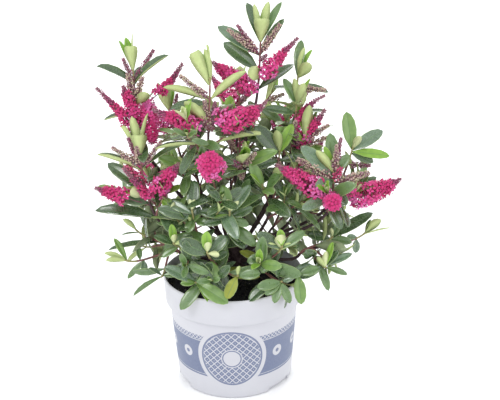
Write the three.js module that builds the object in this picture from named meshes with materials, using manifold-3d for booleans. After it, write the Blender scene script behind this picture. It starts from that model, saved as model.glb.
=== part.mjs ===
// A flowering hebe in its 17 cm nursery pot.
//
// Millimetres, +Z up. The origin is the centre of the pot's flat underside, +X is to the right
// and +Y is away from the side that the plant is usually seen from. The pot holds compost, a
// short woody stem stands in it, and every bough ends where it hands over to one mass of
// leafy shoots. Leaves sit in opposite pairs, each pair a quarter turn on from the last, the
// youngest pair closes into a cup at the shoot's tip, and racemes grow out of the leaf axils.

import * as THREE from "three";
import { mergeVertices } from "three/addons/utils/BufferGeometryUtils.js";
import Module from "manifold-3d";

const wasm = await Module();
wasm.setup();

// ---------------------------------------------------------------- driving dimensions

const clearance = 0.35; // air left between two pieces that meet

// pot: injection-moulded, with a stepped collar and three notches in the foot
const potHeight = 138;
const rimRadius = 85;
const collarHeight = 34;
const collarFoot = 83.4; // radius of the collar's lower edge
const wallTop = 78.5; // radius of the wall where the collar starts
const footRadius = 70;
const wallThickness = 1.4;
const floorThickness = 9; // solid to above the notches, which don't open the inside
const lipWidth = 2.6;
const potSides = 36;
const notchHeight = 7;
const notchDepth = 5;
const notchWidth = 38;
const notchAzimuths = [-40, 82, 202];

// compost
const compostLevel = 126;
const compostEdgeDrop = 3;

// woody stem
const stemFoot = new THREE.Vector3(8, 4, compostLevel + clearance);
const stemFork = new THREE.Vector3(0, -2, compostLevel + 50);
const stemFootRadius = 6.5;
const stemForkRadius = 4.2;
const rootFlare = 2.6;

// boughs, shoots, leaves and racemes
const boughSpan = [0.32, 0.94]; // the stretch of the stem, foot to fork, that boughs leave from
const forkHeights = [24, 204]; // the fork heights over the compost for that stretch's ends
const boughRadius = 2.7;
const boughTipRadius = 1.9;
const shootTipRadius = 1.2;
const leafStalk = 2.4; // height of a leaf's foot on its twig
const twigStep = 32; // longest straight stretch of a twig
const frameSteps = 24; // how finely a shoot's twist is followed
const leafLength = 45;
const leafWidth = 18;
const leafThickness = 1.3;
const cupLeafLength = 42;
const racemeLength = 66;
const racemeRadius = 13;
const lowestLeaf = 6; // nothing on the plant hangs lower than this
const frontReach = 116; // nor does anything reach further to the front

// Leaf pairs from the tip down: how far below the tip they sit, how wide they open from the
// shoot, and their size next to a full-grown leaf.
const pairs = [
  { below: 5, opens: 16, size: cupLeafLength / leafLength },
  { below: 16, opens: 48, size: 0.95 },
  { below: 32, opens: 64, size: 1.08 },
  { below: 52, opens: 76, size: 1.08 },
  { below: 74, opens: 84, size: 1 },
  { below: 98, opens: 88, size: 0.95 },
];
const sideShootPairs = 3;

// Each mass of foliage: the fork where its bough ends, the tips of its leading shoots, the
// tips of its flowering racemes, and how many side shoots fill it out to what spread. Heights
// are over the compost.
const masses = [
  { name: "crown_top", fork: [24, 8, 196], tips: [[37, 20, 302], [54, 28, 234]],
    blooms: [[80, 0, 300], [-18, 0, 271]], side: 1, spread: 34 },
  { name: "crown_left", fork: [-96, 0, 164], tips: [[-109, 10, 266]],
    blooms: [[-151, 0, 247], [-52, 20, 268], [-88, -24, 187]], side: 2, spread: 34 },
  { name: "crown_centre", fork: [-20, -36, 140], tips: [[-24, -45, 269]],
    blooms: [[42, -58, 244], [-84, -58, 238]], side: 1, spread: 34 },
  { name: "crown_right", fork: [66, 12, 136], tips: [[82, 30, 248], [79, 8, 220], [90, 0, 181]],
    blooms: [[112, 8, 228], [116, -4, 200]], side: 1, spread: 36 },
  { name: "middle_right", fork: [40, -22, 84], tips: [[58, -12, 170], [84, -38, 118], [36, -42, 140]],
    blooms: [], side: 1, spread: 34 },
  { name: "right_flowering", fork: [112, -34, 100], tips: [[118, -45, 154], [143, -42, 128]],
    blooms: [[52, -56, 168], [194, -54, 146], [112, -102, 134]], side: 1, spread: 30 },
  { name: "far_right", fork: [118, 10, 92], tips: [[147, 20, 162], [160, 32, 122]],
    blooms: [], side: 1, spread: 30 },
  { name: "right_low", fork: [80, -24, 42], tips: [[136, -12, 62], [162, 0, 58], [110, -50, 36]],
    blooms: [], side: 1, spread: 26 },
  { name: "left_flowering", fork: [-86, -22, 90], tips: [[-104, -30, 175], [-76, -34, 130]],
    blooms: [[-58, -48, 170], [-156, -38, 138], [-121, -44, 164]], side: 1, spread: 30 },
  { name: "left_low", fork: [-62, -18, 44], tips: [[-138, 0, 78], [-128, -28, 42], [-90, -52, 34]],
    blooms: [], side: 1, spread: 26 },
  { name: "front_left", fork: [-30, -30, 46], tips: [[-45, -60, 118], [-68, -62, 78]],
    blooms: [], side: 1, spread: 26 },
  { name: "front_centre", fork: [-2, -32, 70], tips: [[-2, -65, 118], [-22, -56, 164]],
    blooms: [[-22, -108, 201]], side: 0, spread: 26 },
  { name: "front_low", fork: [-12, -34, 24], tips: [[-29, -84, 76], [-44, -76, 28], [4, -90, 34]],
    blooms: [], side: 0, spread: 24 },
  { name: "front_right", fork: [28, -32, 26], tips: [[57, -82, 80], [36, -92, 30], [78, -66, 36]],
    blooms: [], side: 1, spread: 26 },
  { name: "middle_left", fork: [-30, 4, 100], tips: [[-44, 2, 196], [-64, -6, 154]],
    blooms: [], side: 2, spread: 34 },
  { name: "middle_top", fork: [10, 12, 114], tips: [[0, 20, 196]],
    blooms: [], side: 2, spread: 38 },
  { name: "back_top", fork: [6, 50, 118], tips: [[14, 86, 216]],
    blooms: [[-22, 134, 222]], side: 2, spread: 42 },
  { name: "back_left_top", fork: [-50, 46, 110], tips: [[-74, 82, 200]],
    blooms: [[-116, 112, 200]], side: 3, spread: 42 },
  { name: "back_right_top", fork: [54, 52, 102], tips: [[84, 92, 188]],
    blooms: [[100, 130, 196]], side: 3, spread: 42 },
  { name: "back_left", fork: [-74, 32, 66], tips: [[-134, 66, 114]],
    blooms: [[-125, 110, 140]], side: 3, spread: 40 },
  { name: "back_right", fork: [74, 44, 60], tips: [[128, 88, 102]],
    blooms: [[120, 120, 140]], side: 3, spread: 40 },
  { name: "back", fork: [0, 62, 64], tips: [[2, 140, 134]],
    blooms: [[40, 172, 168]], side: 3, spread: 42 },
  { name: "back_left_low", fork: [-38, 44, 28], tips: [[-84, 112, 56]],
    blooms: [], side: 3, spread: 36 },
  { name: "back_right_low", fork: [40, 48, 26], tips: [[82, 124, 50]],
    blooms: [], side: 3, spread: 36 },
];

// ---------------------------------------------------------------- materials

function finish(color, roughness, metalness = 0) {
  return new THREE.MeshStandardMaterial({ color, roughness, metalness });
}

const potPlastic = finish(0xe9e8f0, 0.42);
const compostMatter = finish(0x17191b, 0.95);
const bark = finish(0x4a3638, 0.8);
const foliage = finish(0x4f7f48, 0.45);

// ---------------------------------------------------------------- solids

const up = new THREE.Vector3(0, 0, 1);

function toSolid(geometry) {
  const bare = geometry.index ? geometry.toNonIndexed() : geometry.clone();
  bare.deleteAttribute("normal");
  bare.deleteAttribute("uv");
  const merged = mergeVertices(bare, 1e-4);
  return new wasm.Manifold(new wasm.Mesh({
    numProp: 3,
    vertProperties: new Float32Array(merged.attributes.position.array),
    triVerts: new Uint32Array(merged.index.array),
  }));
}

function toGeometry(solid) {
  const mesh = solid.getMesh();
  const geometry = new THREE.BufferGeometry();
  geometry.setAttribute("position", new THREE.BufferAttribute(mesh.vertProperties, 3));
  geometry.setIndex(new THREE.BufferAttribute(mesh.triVerts, 1));
  geometry.computeVertexNormals();
  return geometry;
}

function join(solids) {
  return solids.length > 1 ? wasm.Manifold.union(solids) : solids[0];
}

// The largest body of a solid: loose scraps are dropped.
function largest(solid) {
  const bodies = solid.decompose();
  return bodies.reduce((best, body) => (body.volume() > best.volume() ? body : best));
}

// ---------------------------------------------------------------- pot and compost

const shoulder = potHeight - collarHeight;

function wallRadius(z) {
  return footRadius + (wallTop - footRadius) * (z / shoulder);
}

function makePot() {
  const profile = [
    [0, 0],
    [footRadius, 0],
    [wallTop, shoulder],
    [collarFoot, shoulder + 1.5],
    [rimRadius - 0.4, potHeight - 5],
    [rimRadius, potHeight - 3],
    [rimRadius - 0.6, potHeight],
    [rimRadius - lipWidth, potHeight],
    [collarFoot - wallThickness, shoulder + 3],
    [wallTop - wallThickness, shoulder - 1],
    [wallRadius(floorThickness) - wallThickness, floorThickness],
    [0, floorThickness],
  ].map(([r, z]) => new THREE.Vector2(r, z));
  const shell = new THREE.LatheGeometry(profile, potSides);
  shell.rotateX(Math.PI / 2);
  const notches = notchAzimuths.map((azimuth) => {
    const notch = new THREE.BoxGeometry(notchDepth * 2, notchWidth, notchHeight * 2);
    notch.translate(footRadius, 0, 0);
    notch.rotateZ(THREE.MathUtils.degToRad(azimuth));
    return toSolid(notch);
  });
  return toSolid(shell).subtract(join(notches));
}

function makeCompost() {
  const gap = wallThickness + clearance;
  const low = floorThickness + clearance;
  const profile = [
    [0, low],
    [wallRadius(low) - gap, low],
    [wallTop - gap, shoulder - 0.6],
    [collarFoot - gap - 0.6, shoulder + 4],
    [collarFoot - gap + 0.2, compostLevel - compostEdgeDrop],
    [collarFoot - 14, compostLevel],
    [0, compostLevel],
  ].map(([r, z]) => new THREE.Vector2(r, z));
  const fill = new THREE.LatheGeometry(profile, potSides);
  fill.rotateX(Math.PI / 2);
  return toSolid(fill);
}

// ---------------------------------------------------------------- limbs

// One closed tapering limb along a curve: a cylinder whose rings are moved to the curve.
function limb(path, radiusAt, sides, steps) {
  const tube = new THREE.CylinderGeometry(1, 1, 1, sides, steps);
  const frames = path.computeFrenetFrames(steps, false);
  const position = tube.attributes.position;
  const point = new THREE.Vector3();
  for (let i = 0; i < position.count; i++) {
    const ring = Math.round((position.getY(i) + 0.5) * steps);
    const radius = radiusAt(ring / steps);
    point.copy(path.getPointAt(ring / steps));
    point.addScaledVector(frames.normals[ring], position.getX(i) * radius);
    point.addScaledVector(frames.binormals[ring], -position.getZ(i) * radius);
    position.setXYZ(i, point.x, point.y, point.z);
  }
  return toSolid(tube);
}

const stemPath = new THREE.CubicBezierCurve3(
  stemFoot,
  stemFoot.clone().add(new THREE.Vector3(0, 0, 14)),
  stemFork.clone().add(new THREE.Vector3(3, 1, -18)),
  stemFork,
);

function stemRadius(t, extra = 0) {
  const flare = rootFlare * Math.exp(-t * 9);
  return stemFootRadius + (stemForkRadius - stemFootRadius) * t + flare + extra;
}

// A bough leaves the stem at a height set by its fork's height, on the side that faces the fork.
function boughPath(fork) {
  const [lowFork, highFork] = forkHeights;
  const rise = fork.z - compostLevel;
  const height = THREE.MathUtils.clamp((rise - lowFork) / (highFork - lowFork), 0, 1);
  const root = stemPath.getPointAt(THREE.MathUtils.lerp(...boughSpan, height));
  const outward = new THREE.Vector3(fork.x - root.x, fork.y - root.y, 0).normalize();
  const reach = root.distanceTo(fork);
  const rising = outward.clone().multiplyScalar(0.9 - 0.3 * height).addScaledVector(up, 0.7);
  return new THREE.CubicBezierCurve3(
    root,
    root.clone().addScaledVector(rising, reach * 0.34),
    fork.clone().addScaledVector(up, -reach * 0.22).addScaledVector(outward, -reach * 0.12),
    fork,
  );
}

// A shoot starts along `along` and turns upwards towards its tip.
function shootPath(root, along, tip) {
  const reach = root.distanceTo(tip);
  const straight = tip.clone().sub(root).normalize();
  const ending = straight.clone().multiplyScalar(0.8).addScaledVector(up, 0.5).normalize();
  return new THREE.CubicBezierCurve3(
    root,
    root.clone().addScaledVector(along, reach * 0.3),
    tip.clone().addScaledVector(ending, -reach * 0.3),
    tip,
  );
}

// ---------------------------------------------------------------- leaves and racemes

// A seeded stream of numbers from 0 to 1, the same on every run.
function stream(seed) {
  let state = seed * 7919 + 13;
  return () => {
    state = (state * 1664525 + 1013904223) % 4294967296;
    return state / 4294967296;
  };
}

// A direction square to `along`, turned by `turn` round it.
function sideways(along, turn) {
  const side = new THREE.Vector3().crossVectors(along, up).normalize();
  return side.applyAxisAngle(along, turn);
}

// A shoot's twig has four sides, because its leaf pairs face four ways. Corner 0 to 3 of the
// twig's outline at t, where t runs from 0 at the root to 1 at the tip.
function twigCorner(shoot, t, corner) {
  const ring = Math.round(t * frameSteps);
  const angle = shoot.twist + (corner * Math.PI) / 2;
  const radius = shoot.width + (shootTipRadius - shoot.width) * t;
  return shoot.path.getPointAt(t)
    .addScaledVector(shoot.frames.normals[ring], Math.cos(angle) * radius)
    .addScaledVector(shoot.frames.binormals[ring], Math.sin(angle) * radius);
}

// The stretch of twig that a pair of leaves grows from.
function nodeSpan(shoot, order) {
  const length = shoot.path.getLength();
  const middle = length - pairs[order].below;
  return [(middle - leafStalk / 2) / length, (middle + leafStalk / 2) / length];
}

// The four corners of the twig's side that a leaf grows out of.
function leafBase(shoot, order, hand) {
  const side = (order % 2) + 2 * hand;
  const [low, high] = nodeSpan(shoot, order);
  return [
    twigCorner(shoot, low, side),
    twigCorner(shoot, low, side + 1),
    twigCorner(shoot, high, side + 1),
    twigCorner(shoot, high, side),
  ];
}

// A leaf from its base: the corners of its widest section, and its tip.
function leafBlade(base, heading, face, size) {
  const length = leafLength * size;
  const across = new THREE.Vector3().crossVectors(face, heading);
  const root = base.reduce((sum, corner) => sum.addScaledVector(corner, 0.25), new THREE.Vector3());
  const middle = root.clone().addScaledVector(heading, length * 0.55);
  const corner = (a, b) => middle.clone()
    .addScaledVector(across, a * leafWidth * size * 0.5)
    .addScaledVector(face, b * leafThickness * 0.5);
  const tip = root.clone().addScaledVector(heading, length).addScaledVector(face, -length * 0.07);
  return [corner(-1, -1), corner(1, -1), corner(1, 1), corner(-1, 1), tip];
}

// Triangles of a leaf on its base corners a..d, with section corners e..h and tip k.
function leafFaces(a, b, c, d, [e, f, g, h, k]) {
  return [
    a, b, f, a, f, e, b, c, g, b, g, f, c, d, h, c, h, g, d, a, e, d, e, h,
    e, f, k, f, g, k, g, h, k, h, e, k,
  ];
}

function fromTriangles(corners) {
  const geometry = new THREE.BufferGeometry().setFromPoints(corners);
  return toSolid(geometry);
}

// A leaf on its own, closed at its base: it is what a new leaf is tested with.
function closedLeaf(base, blade) {
  const [a, b, c, d] = base;
  return fromTriangles([...leafFaces(a, b, c, d, blade), a, c, b, a, d, c]);
}

// A shoot as one closed solid: its twig, with each leaf drawn out of the side it grows from.
function leafyShoot(shoot) {
  const spans = [];
  const stops = [0];
  const climbTo = (t) => {
    const start = stops[stops.length - 1];
    const count = Math.ceil(((t - start) * shoot.path.getLength()) / twigStep);
    for (let k = 1; k <= count; k++) stops.push(start + ((t - start) * k) / count);
  };
  for (let order = pairs.length - 1; order >= 0; order--) {
    if (!shoot.leaves.some((leaf) => leaf.order === order)) continue;
    const [low, high] = nodeSpan(shoot, order);
    climbTo(low);
    spans.push({ order, from: stops.length - 1 });
    stops.push(high);
  }
  climbTo(1);
  const rings = stops.map((t) => [0, 1, 2, 3].map((corner) => twigCorner(shoot, t, corner)));
  const [first, last] = [rings[0], rings[rings.length - 1]];
  const corners = [
    first[0], first[2], first[1], first[0], first[3], first[2],
    last[0], last[1], last[2], last[0], last[2], last[3],
  ];
  for (let i = 0; i + 1 < rings.length; i++) {
    const span = spans.find((one) => one.from === i);
    for (let side = 0; side < 4; side++) {
      const next = (side + 1) % 4;
      const [a, b, c, d] = [rings[i][side], rings[i][next], rings[i + 1][next], rings[i + 1][side]];
      const leaf = span && shoot.leaves.find((one) => one.order === span.order && one.side === side);
      corners.push(...(leaf ? leafFaces(a, b, c, d, leaf.blade) : [a, b, c, a, c, d]));
    }
  }
  return fromTriangles(corners);
}

// A raceme: a spindle that is thickest in its lower half and drawn out to a thin tip.
function raceme(root, tip, radius, sides, rings) {
  const line = new THREE.LineCurve3(root, tip);
  const swell = (t) => radius * Math.max(0.12, Math.min(1, t * 5, (1 - t) * 1.9));
  return limb(line, swell, sides, rings);
}

// ---------------------------------------------------------------- growing

// Every solid of the plant so far, so that one mass keeps clear of limbs and other masses.
const placed = [];

function near(a, b) {
  return [0, 1, 2].every((k) => a.min[k] - clearance < b.max[k] && b.min[k] - clearance < a.max[k]);
}

// Whether a new solid stays clear of what is placed, but for the solids that it may join.
function isClear(solid, mayJoin = () => false) {
  const box = solid.boundingBox();
  if (box.min[2] < lowestLeaf || box.min[1] < -frontReach) return false;
  return placed.every((other) => mayJoin(other) || !near(box, other.box)
    || solid.minGap(other.solid, clearance) >= clearance * 0.9);
}

function place(solid, owner = null, twigOf = null) {
  placed.push({ solid, owner, twigOf, box: solid.boundingBox() });
}

const toVector = ([x, y, z]) => new THREE.Vector3(x, y, compostLevel + z);

const pot = makePot();
const compost = makeCompost();
const stem = limb(stemPath, stemRadius, 12, 6);
[pot, compost, stem].forEach((solid) => place(solid));

// Boughs, each cut clear of the stem and of the boughs made before it.
const fatStem = limb(stemPath, (t) => stemRadius(t, clearance), 12, 6);
const boughs = [];
for (const mass of masses) {
  const path = boughPath(toVector(mass.fork));
  const girth = (extra) => (t) => boughRadius + (boughTipRadius - boughRadius) * t + extra;
  const whole = limb(path, girth(0), 5, 4);
  const keepOut = [fatStem, ...boughs.map((bough) => bough.fat)];
  const solid = largest(whole.subtract(join(keepOut)));
  boughs.push({ path, solid, fat: limb(path, girth(clearance), 5, 4) });
  place(solid);
}

// The shoots of each mass: the first one carries on from the bough, the others fork off it.
masses.forEach((mass, index) => {
  const random = stream(index + 1);
  const bough = boughs[index];
  const along = bough.path.getTangentAt(1);
  const root = toVector(mass.fork).addScaledVector(along, clearance);
  const tips = mass.tips.map(toVector);
  const leader = shootPath(root, along, tips[0]);
  const heading = tips[0].clone().sub(root).normalize();
  for (let k = 0; k < mass.side; k++) {
    const turn = k * 2.4 + random() * 1.2;
    const out = sideways(heading, turn).multiplyScalar(mass.spread * (0.85 + 0.3 * random()));
    tips.push(root.clone().lerp(tips[0], 0.62 + 0.2 * random()).add(out));
  }
  mass.solids = [];
  mass.shoots = [];
  tips.forEach((tip, k) => {
    const at = 0.06 + (0.5 * Math.max(0, k - 1)) / tips.length;
    const fork = leader.getPointAt(at);
    const parting = tip.clone().sub(fork).normalize().addScaledVector(leader.getTangentAt(at), 0.4);
    const path = k === 0 ? leader : shootPath(fork, parting.normalize(), tip);
    const shoot = {
      path,
      width: k === 0 ? boughTipRadius : boughTipRadius * 0.85,
      twist: random() * Math.PI,
      frames: path.computeFrenetFrames(frameSteps, false),
      pairs: k < mass.tips.length ? pairs.length : sideShootPairs,
      leaves: [],
    };
    const girth = (t) => shoot.width + (shootTipRadius - shoot.width) * t;
    const twig = limb(path, girth, 4, 5);
    if (!isClear(twig, (other) => other.owner === mass)) return;
    place(twig, mass, shoot);
    mass.shoots.push(shoot);
  });
});

// Flowering racemes, each from the shoot of its mass that passes nearest.
function growBloom(mass, tip) {
  let best = null;
  for (const { path } of mass.shoots) {
    const length = path.getLength();
    for (let t = 0.1; t < 0.95; t += 0.02) {
      const root = path.getPointAt(t);
      const gap = Math.abs(root.distanceTo(tip) - racemeLength);
      const lean = tip.clone().sub(root).normalize().dot(path.getTangentAt(t));
      const cost = gap + 14 * Math.abs(lean - 0.6) + 0.04 * length * t;
      if (!best || cost < best.cost) best = { cost, root };
    }
  }
  const solid = raceme(best.root, tip, racemeRadius, 5, 4);
  if (!isClear(solid, (other) => other.owner === mass && other.twigOf)) return;
  place(solid, mass);
  mass.solids.push(solid);
}

// The direction of a leaf that opens by an angle from the shoot, and that of its upper face.
function leafPose(shoot, order, hand, swing, opens) {
  const base = leafBase(shoot, order, hand);
  const along = base[3].clone().sub(base[0]).normalize();
  const side = new THREE.Vector3().crossVectors(base[1].clone().sub(base[0]), along).normalize();
  side.applyAxisAngle(along, swing);
  const heading = along.clone().multiplyScalar(Math.cos(opens)).addScaledVector(side, Math.sin(opens));
  const face = along.clone().multiplyScalar(Math.sin(opens)).addScaledVector(side, -Math.cos(opens));
  return { base, heading, face };
}

// One leaf of a pair. Where it would touch a neighbour it is tried lifted, lowered and smaller.
function growLeaf(mass, shoot, order, hand, random, mate) {
  const pair = pairs[order];
  if (order >= shoot.pairs || pair.below > shoot.path.getLength() - 8) return null;
  const opens = THREE.MathUtils.degToRad(pair.opens + (random() - 0.5) * 16);
  const size = pair.size * (0.9 + 0.2 * random());
  const swing = (random() - 0.5) * 0.4;
  for (const [lift, scale] of [[0, 1], [-0.35, 1], [0.3, 1], [0, 0.72], [-0.4, 0.7]]) {
    const { base, heading, face } = leafPose(shoot, order, hand, swing, opens + lift);
    const blade = leafBlade(base, heading, face, size * scale);
    const solid = closedLeaf(base, blade);
    if (isClear(solid, (other) => other.twigOf === shoot || other.solid === mate)) {
      place(solid, mass);
      shoot.leaves.push({ order, side: (order % 2) + 2 * hand, blade });
      return solid;
    }
  }
  return null;
}

for (const mass of masses) {
  mass.blooms.map(toVector).forEach((tip) => growBloom(mass, tip));
}
const leafStream = stream(500);
pairs.forEach((pair, order) => {
  for (const mass of masses) {
    for (const shoot of mass.shoots) {
      const first = growLeaf(mass, shoot, order, 0, leafStream, null);
      growLeaf(mass, shoot, order, 1, leafStream, first);
    }
  }
});

// ---------------------------------------------------------------- the plant in its pot

const plant = new THREE.Group();
plant.name = "potted_hebe";

function addPiece(name, solid, material) {
  const mesh = new THREE.Mesh(toGeometry(solid), material);
  mesh.name = name;
  plant.add(mesh);
}

addPiece("pot", pot, potPlastic);
addPiece("compost", compost, compostMatter);
addPiece("trunk", stem, bark);
masses.forEach((mass, index) => {
  addPiece(`bough_${mass.name}`, boughs[index].solid, bark);
  const solids = [...mass.shoots.map(leafyShoot), ...mass.solids];
  addPiece(`foliage_${mass.name}`, largest(join(solids)), foliage);
});

export default plant;
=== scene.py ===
# A flowering hebe in its 17 cm nursery pot.
#
# Metres, +Z up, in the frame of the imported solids: the origin is the centre of the pot's flat
# underside, and the plant is usually seen from -Y. Places and sizes are written in millimetres
# and turned to metres where they are used.

import math

import bpy
import numpy as np
from mathutils import Matrix, Vector, noise


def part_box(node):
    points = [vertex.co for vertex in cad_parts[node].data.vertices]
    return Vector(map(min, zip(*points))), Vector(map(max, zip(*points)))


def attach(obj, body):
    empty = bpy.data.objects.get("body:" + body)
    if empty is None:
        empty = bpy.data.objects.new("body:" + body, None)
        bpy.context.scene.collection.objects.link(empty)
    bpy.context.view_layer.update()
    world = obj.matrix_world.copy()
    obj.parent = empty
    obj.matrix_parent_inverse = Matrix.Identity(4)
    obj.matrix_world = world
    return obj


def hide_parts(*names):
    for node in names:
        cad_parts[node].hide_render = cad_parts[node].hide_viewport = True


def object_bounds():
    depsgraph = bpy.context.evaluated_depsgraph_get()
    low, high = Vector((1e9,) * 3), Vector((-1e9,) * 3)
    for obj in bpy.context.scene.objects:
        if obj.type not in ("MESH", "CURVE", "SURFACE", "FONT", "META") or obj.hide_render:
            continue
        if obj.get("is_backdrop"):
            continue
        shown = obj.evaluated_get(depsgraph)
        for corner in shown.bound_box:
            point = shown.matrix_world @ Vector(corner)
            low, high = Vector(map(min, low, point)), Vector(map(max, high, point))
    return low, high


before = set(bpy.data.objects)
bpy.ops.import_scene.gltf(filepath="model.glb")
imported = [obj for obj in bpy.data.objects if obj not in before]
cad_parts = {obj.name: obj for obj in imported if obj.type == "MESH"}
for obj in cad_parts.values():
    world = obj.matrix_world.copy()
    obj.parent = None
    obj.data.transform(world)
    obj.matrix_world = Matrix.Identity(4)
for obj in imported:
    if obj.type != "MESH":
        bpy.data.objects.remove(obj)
solids_low, solids_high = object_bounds()

mm = 0.001

# ---------------------------------------------------------------- the pot
# A round nursery pot, injection-moulded in one piece from white polypropylene. Its collar steps
# out over the wall, three notches in the foot let water out, and a slate-blue band with ringed
# roundels, small discs and a tooth border is printed round the wall.

pot_low, pot_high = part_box("pot")
pot_height = pot_high.z
rim_radius = (pot_high.y - pot_low.y) / 2
shoulder = pot_height - 34 * mm
wall_top = 78.5 * mm
foot_radius = 70 * mm
wall_thickness = 1.4 * mm
pot_sides = 144
notch_azimuths = (-40, 82, 202)
notch_size = (10 * mm, 38 * mm, 14 * mm)
notch_bevel = 1.2 * mm
drain_azimuths = (-36, 85, 205)
drain_radius = 2.3 * mm
drain_length = 12 * mm
drain_reach = foot_radius - 9 * mm
drain_height = 4.2 * mm

band_low = 27.5 * mm
band_high = 84 * mm
frieze_height = 6 * mm
band_line = 1.0 * mm
foot_line_rise = 2.6 * mm
roundel_turn = math.radians(-3)
roundel_count = 3
roundel_height = 56.5 * mm
roundel_radius = 43 * mm
ring_radius = 36.6 * mm
ring_width = 2.2 * mm
lattice_pitch = 8.8 * mm
lattice_inner = 13 * mm
lattice_margin = 1.4 * mm
lozenge_half = 0.41
lozenge_eye_half = 0.07
small_disc_radius = 7.2 * mm
small_disc_spread = 36.6 * mm
disc_eye_share = 0.36
tooth_pitch = 5.2 * mm
tooth_half = 0.24
# Painted shade on the inner wall, where the rim shades it: the grey starts under the compost, fades out a
# little over it, and stays inside this reach.
inner_shade_foot = 108 * mm
inner_shade_fade = 135 * mm
inner_shade_reach = 82.4 * mm


def linear(red, green, blue):
    """A display colour, 0 to 255 a channel, as the linear colour that shaders take."""
    channels = [c / 255 for c in (red, green, blue)]
    return [c / 12.92 if c <= 0.04045 else ((c + 0.055) / 1.055) ** 2.4 for c in channels] + [1.0]


class Signal:
    """A number on its way through a finish. A sum written on signals adds its Math nodes."""

    def __init__(self, finish, socket):
        self.finish = finish
        self.socket = socket

    def math(self, operation, first, second=0.0):
        return self.finish.node("Math", {"operation": operation}, {0: first, 1: second})

    def __add__(self, other):
        return self.math("ADD", self, other)

    def __radd__(self, other):
        return self.math("ADD", other, self)

    def __sub__(self, other):
        return self.math("SUBTRACT", self, other)

    def __rsub__(self, other):
        return self.math("SUBTRACT", other, self)

    def __mul__(self, other):
        return self.math("MULTIPLY", self, other)

    def __rmul__(self, other):
        return self.math("MULTIPLY", other, self)

    def __truediv__(self, other):
        return self.math("DIVIDE", self, other)

    def size(self):
        return self.math("ABSOLUTE", self)

    def root(self):
        return self.math("SQRT", self)

    def under(self, limit):
        """1 where the signal is under a limit and 0 elsewhere."""
        return self.math("LESS_THAN", self, limit)

    def repeat(self, pitch):
        """The signal as it repeats at a pitch, from minus half a pitch to half a pitch."""
        return self.finish.node("Math", {"operation": "WRAP"}, {0: self, 1: pitch / 2, 2: -pitch / 2})


class Finish:
    """A surface finish: a Principled shader, and the nodes that vary it over the surface."""

    def __init__(self, name, gloss=0.5, sheen=0.0):
        self.material = bpy.data.materials.new(name)
        self.material.use_nodes = True
        self.tree = self.material.node_tree
        self.shader = self.tree.nodes["Principled BSDF"]
        self.shader.inputs["Specular IOR Level"].default_value = gloss
        self.shader.inputs["Sheen Weight"].default_value = sheen

    def feed(self, socket, value):
        if isinstance(value, Signal):
            self.tree.links.new(value.socket, socket)
        else:
            socket.default_value = value

    def node(self, kind, settings=None, inputs=None, out=0):
        made = self.tree.nodes.new("ShaderNode" + kind)
        for key, value in (settings or {}).items():
            setattr(made, key, value)
        for key, value in (inputs or {}).items():
            self.feed(made.inputs[key], value)
        return Signal(self, made.outputs[out])

    def place(self):
        """Where a point of the piece is, in its own frame."""
        return self.node("TexCoord", out="Object")

    def grain(self, scale, detail=2.0, roughness=0.5):
        """A soft random signal of about 0.5, whose patches are 1 / scale metres across."""
        inputs = {"Vector": self.place(), "Scale": scale, "Detail": detail, "Roughness": roughness}
        return self.node("TexNoise", {}, inputs)

    def blend(self, share, first, second):
        """One colour turning into another."""
        inputs = {"Factor": share, 6: first, 7: second}
        return self.node("Mix", {"data_type": "RGBA"}, inputs, 2)

    def colour(self, value):
        self.feed(self.shader.inputs["Base Color"], value)

    def rough(self, value):
        self.feed(self.shader.inputs["Roughness"], value)

    def relief(self, height, distance):
        """A fine relief that the surface is lit by."""
        inputs = {"Height": height, "Distance": distance, "Strength": 1.0}
        self.feed(self.shader.inputs["Normal"], self.node("Bump", {}, inputs))


def turned(name, rings, sides):
    """A closed round form raised from a round plate, ring by ring. A ring is (radius, height)."""
    radius, height = rings[0]
    bpy.ops.object.select_all(action="DESELECT")
    bpy.ops.mesh.primitive_circle_add(
        vertices=sides, radius=radius, fill_type="NGON", location=(0, 0, height)
    )
    form = bpy.context.object
    form.name = name
    bpy.ops.object.transform_apply(location=True, rotation=True, scale=True)
    bpy.ops.object.mode_set(mode="EDIT")
    bpy.ops.mesh.select_all(action="SELECT")
    for (last, low), (radius, height) in zip(rings, rings[1:]):
        bpy.ops.mesh.extrude_region_move(TRANSFORM_OT_translate={"value": (0, 0, height - low)})
        wider = radius / last
        bpy.ops.transform.resize(value=(wider, wider, 1), center_override=(0, 0, height))
    bpy.ops.mesh.select_all(action="SELECT")
    bpy.ops.mesh.normals_make_consistent(inside=False)
    bpy.ops.object.mode_set(mode="OBJECT")
    return form


def select_only(piece):
    bpy.ops.object.select_all(action="DESELECT")
    piece.select_set(True)
    bpy.context.view_layer.objects.active = piece


def cut_away(piece, cutter):
    """Takes the room of a cutter out of a piece, and throws the cutter away."""
    select_only(piece)
    bpy.ops.object.modifier_add(type="BOOLEAN")
    cut = piece.modifiers[-1]
    cut.operation = "DIFFERENCE"
    cut.object = cutter
    bpy.ops.object.modifier_apply(modifier=cut.name)
    bpy.data.objects.remove(cutter)


def wall_radius(height):
    return foot_radius + (wall_top - foot_radius) * height / shoulder


def spoke(around, reach):
    """A place on the floor, out from the axis."""
    return Vector((math.cos(around), math.sin(around), 0)) * reach


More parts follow.
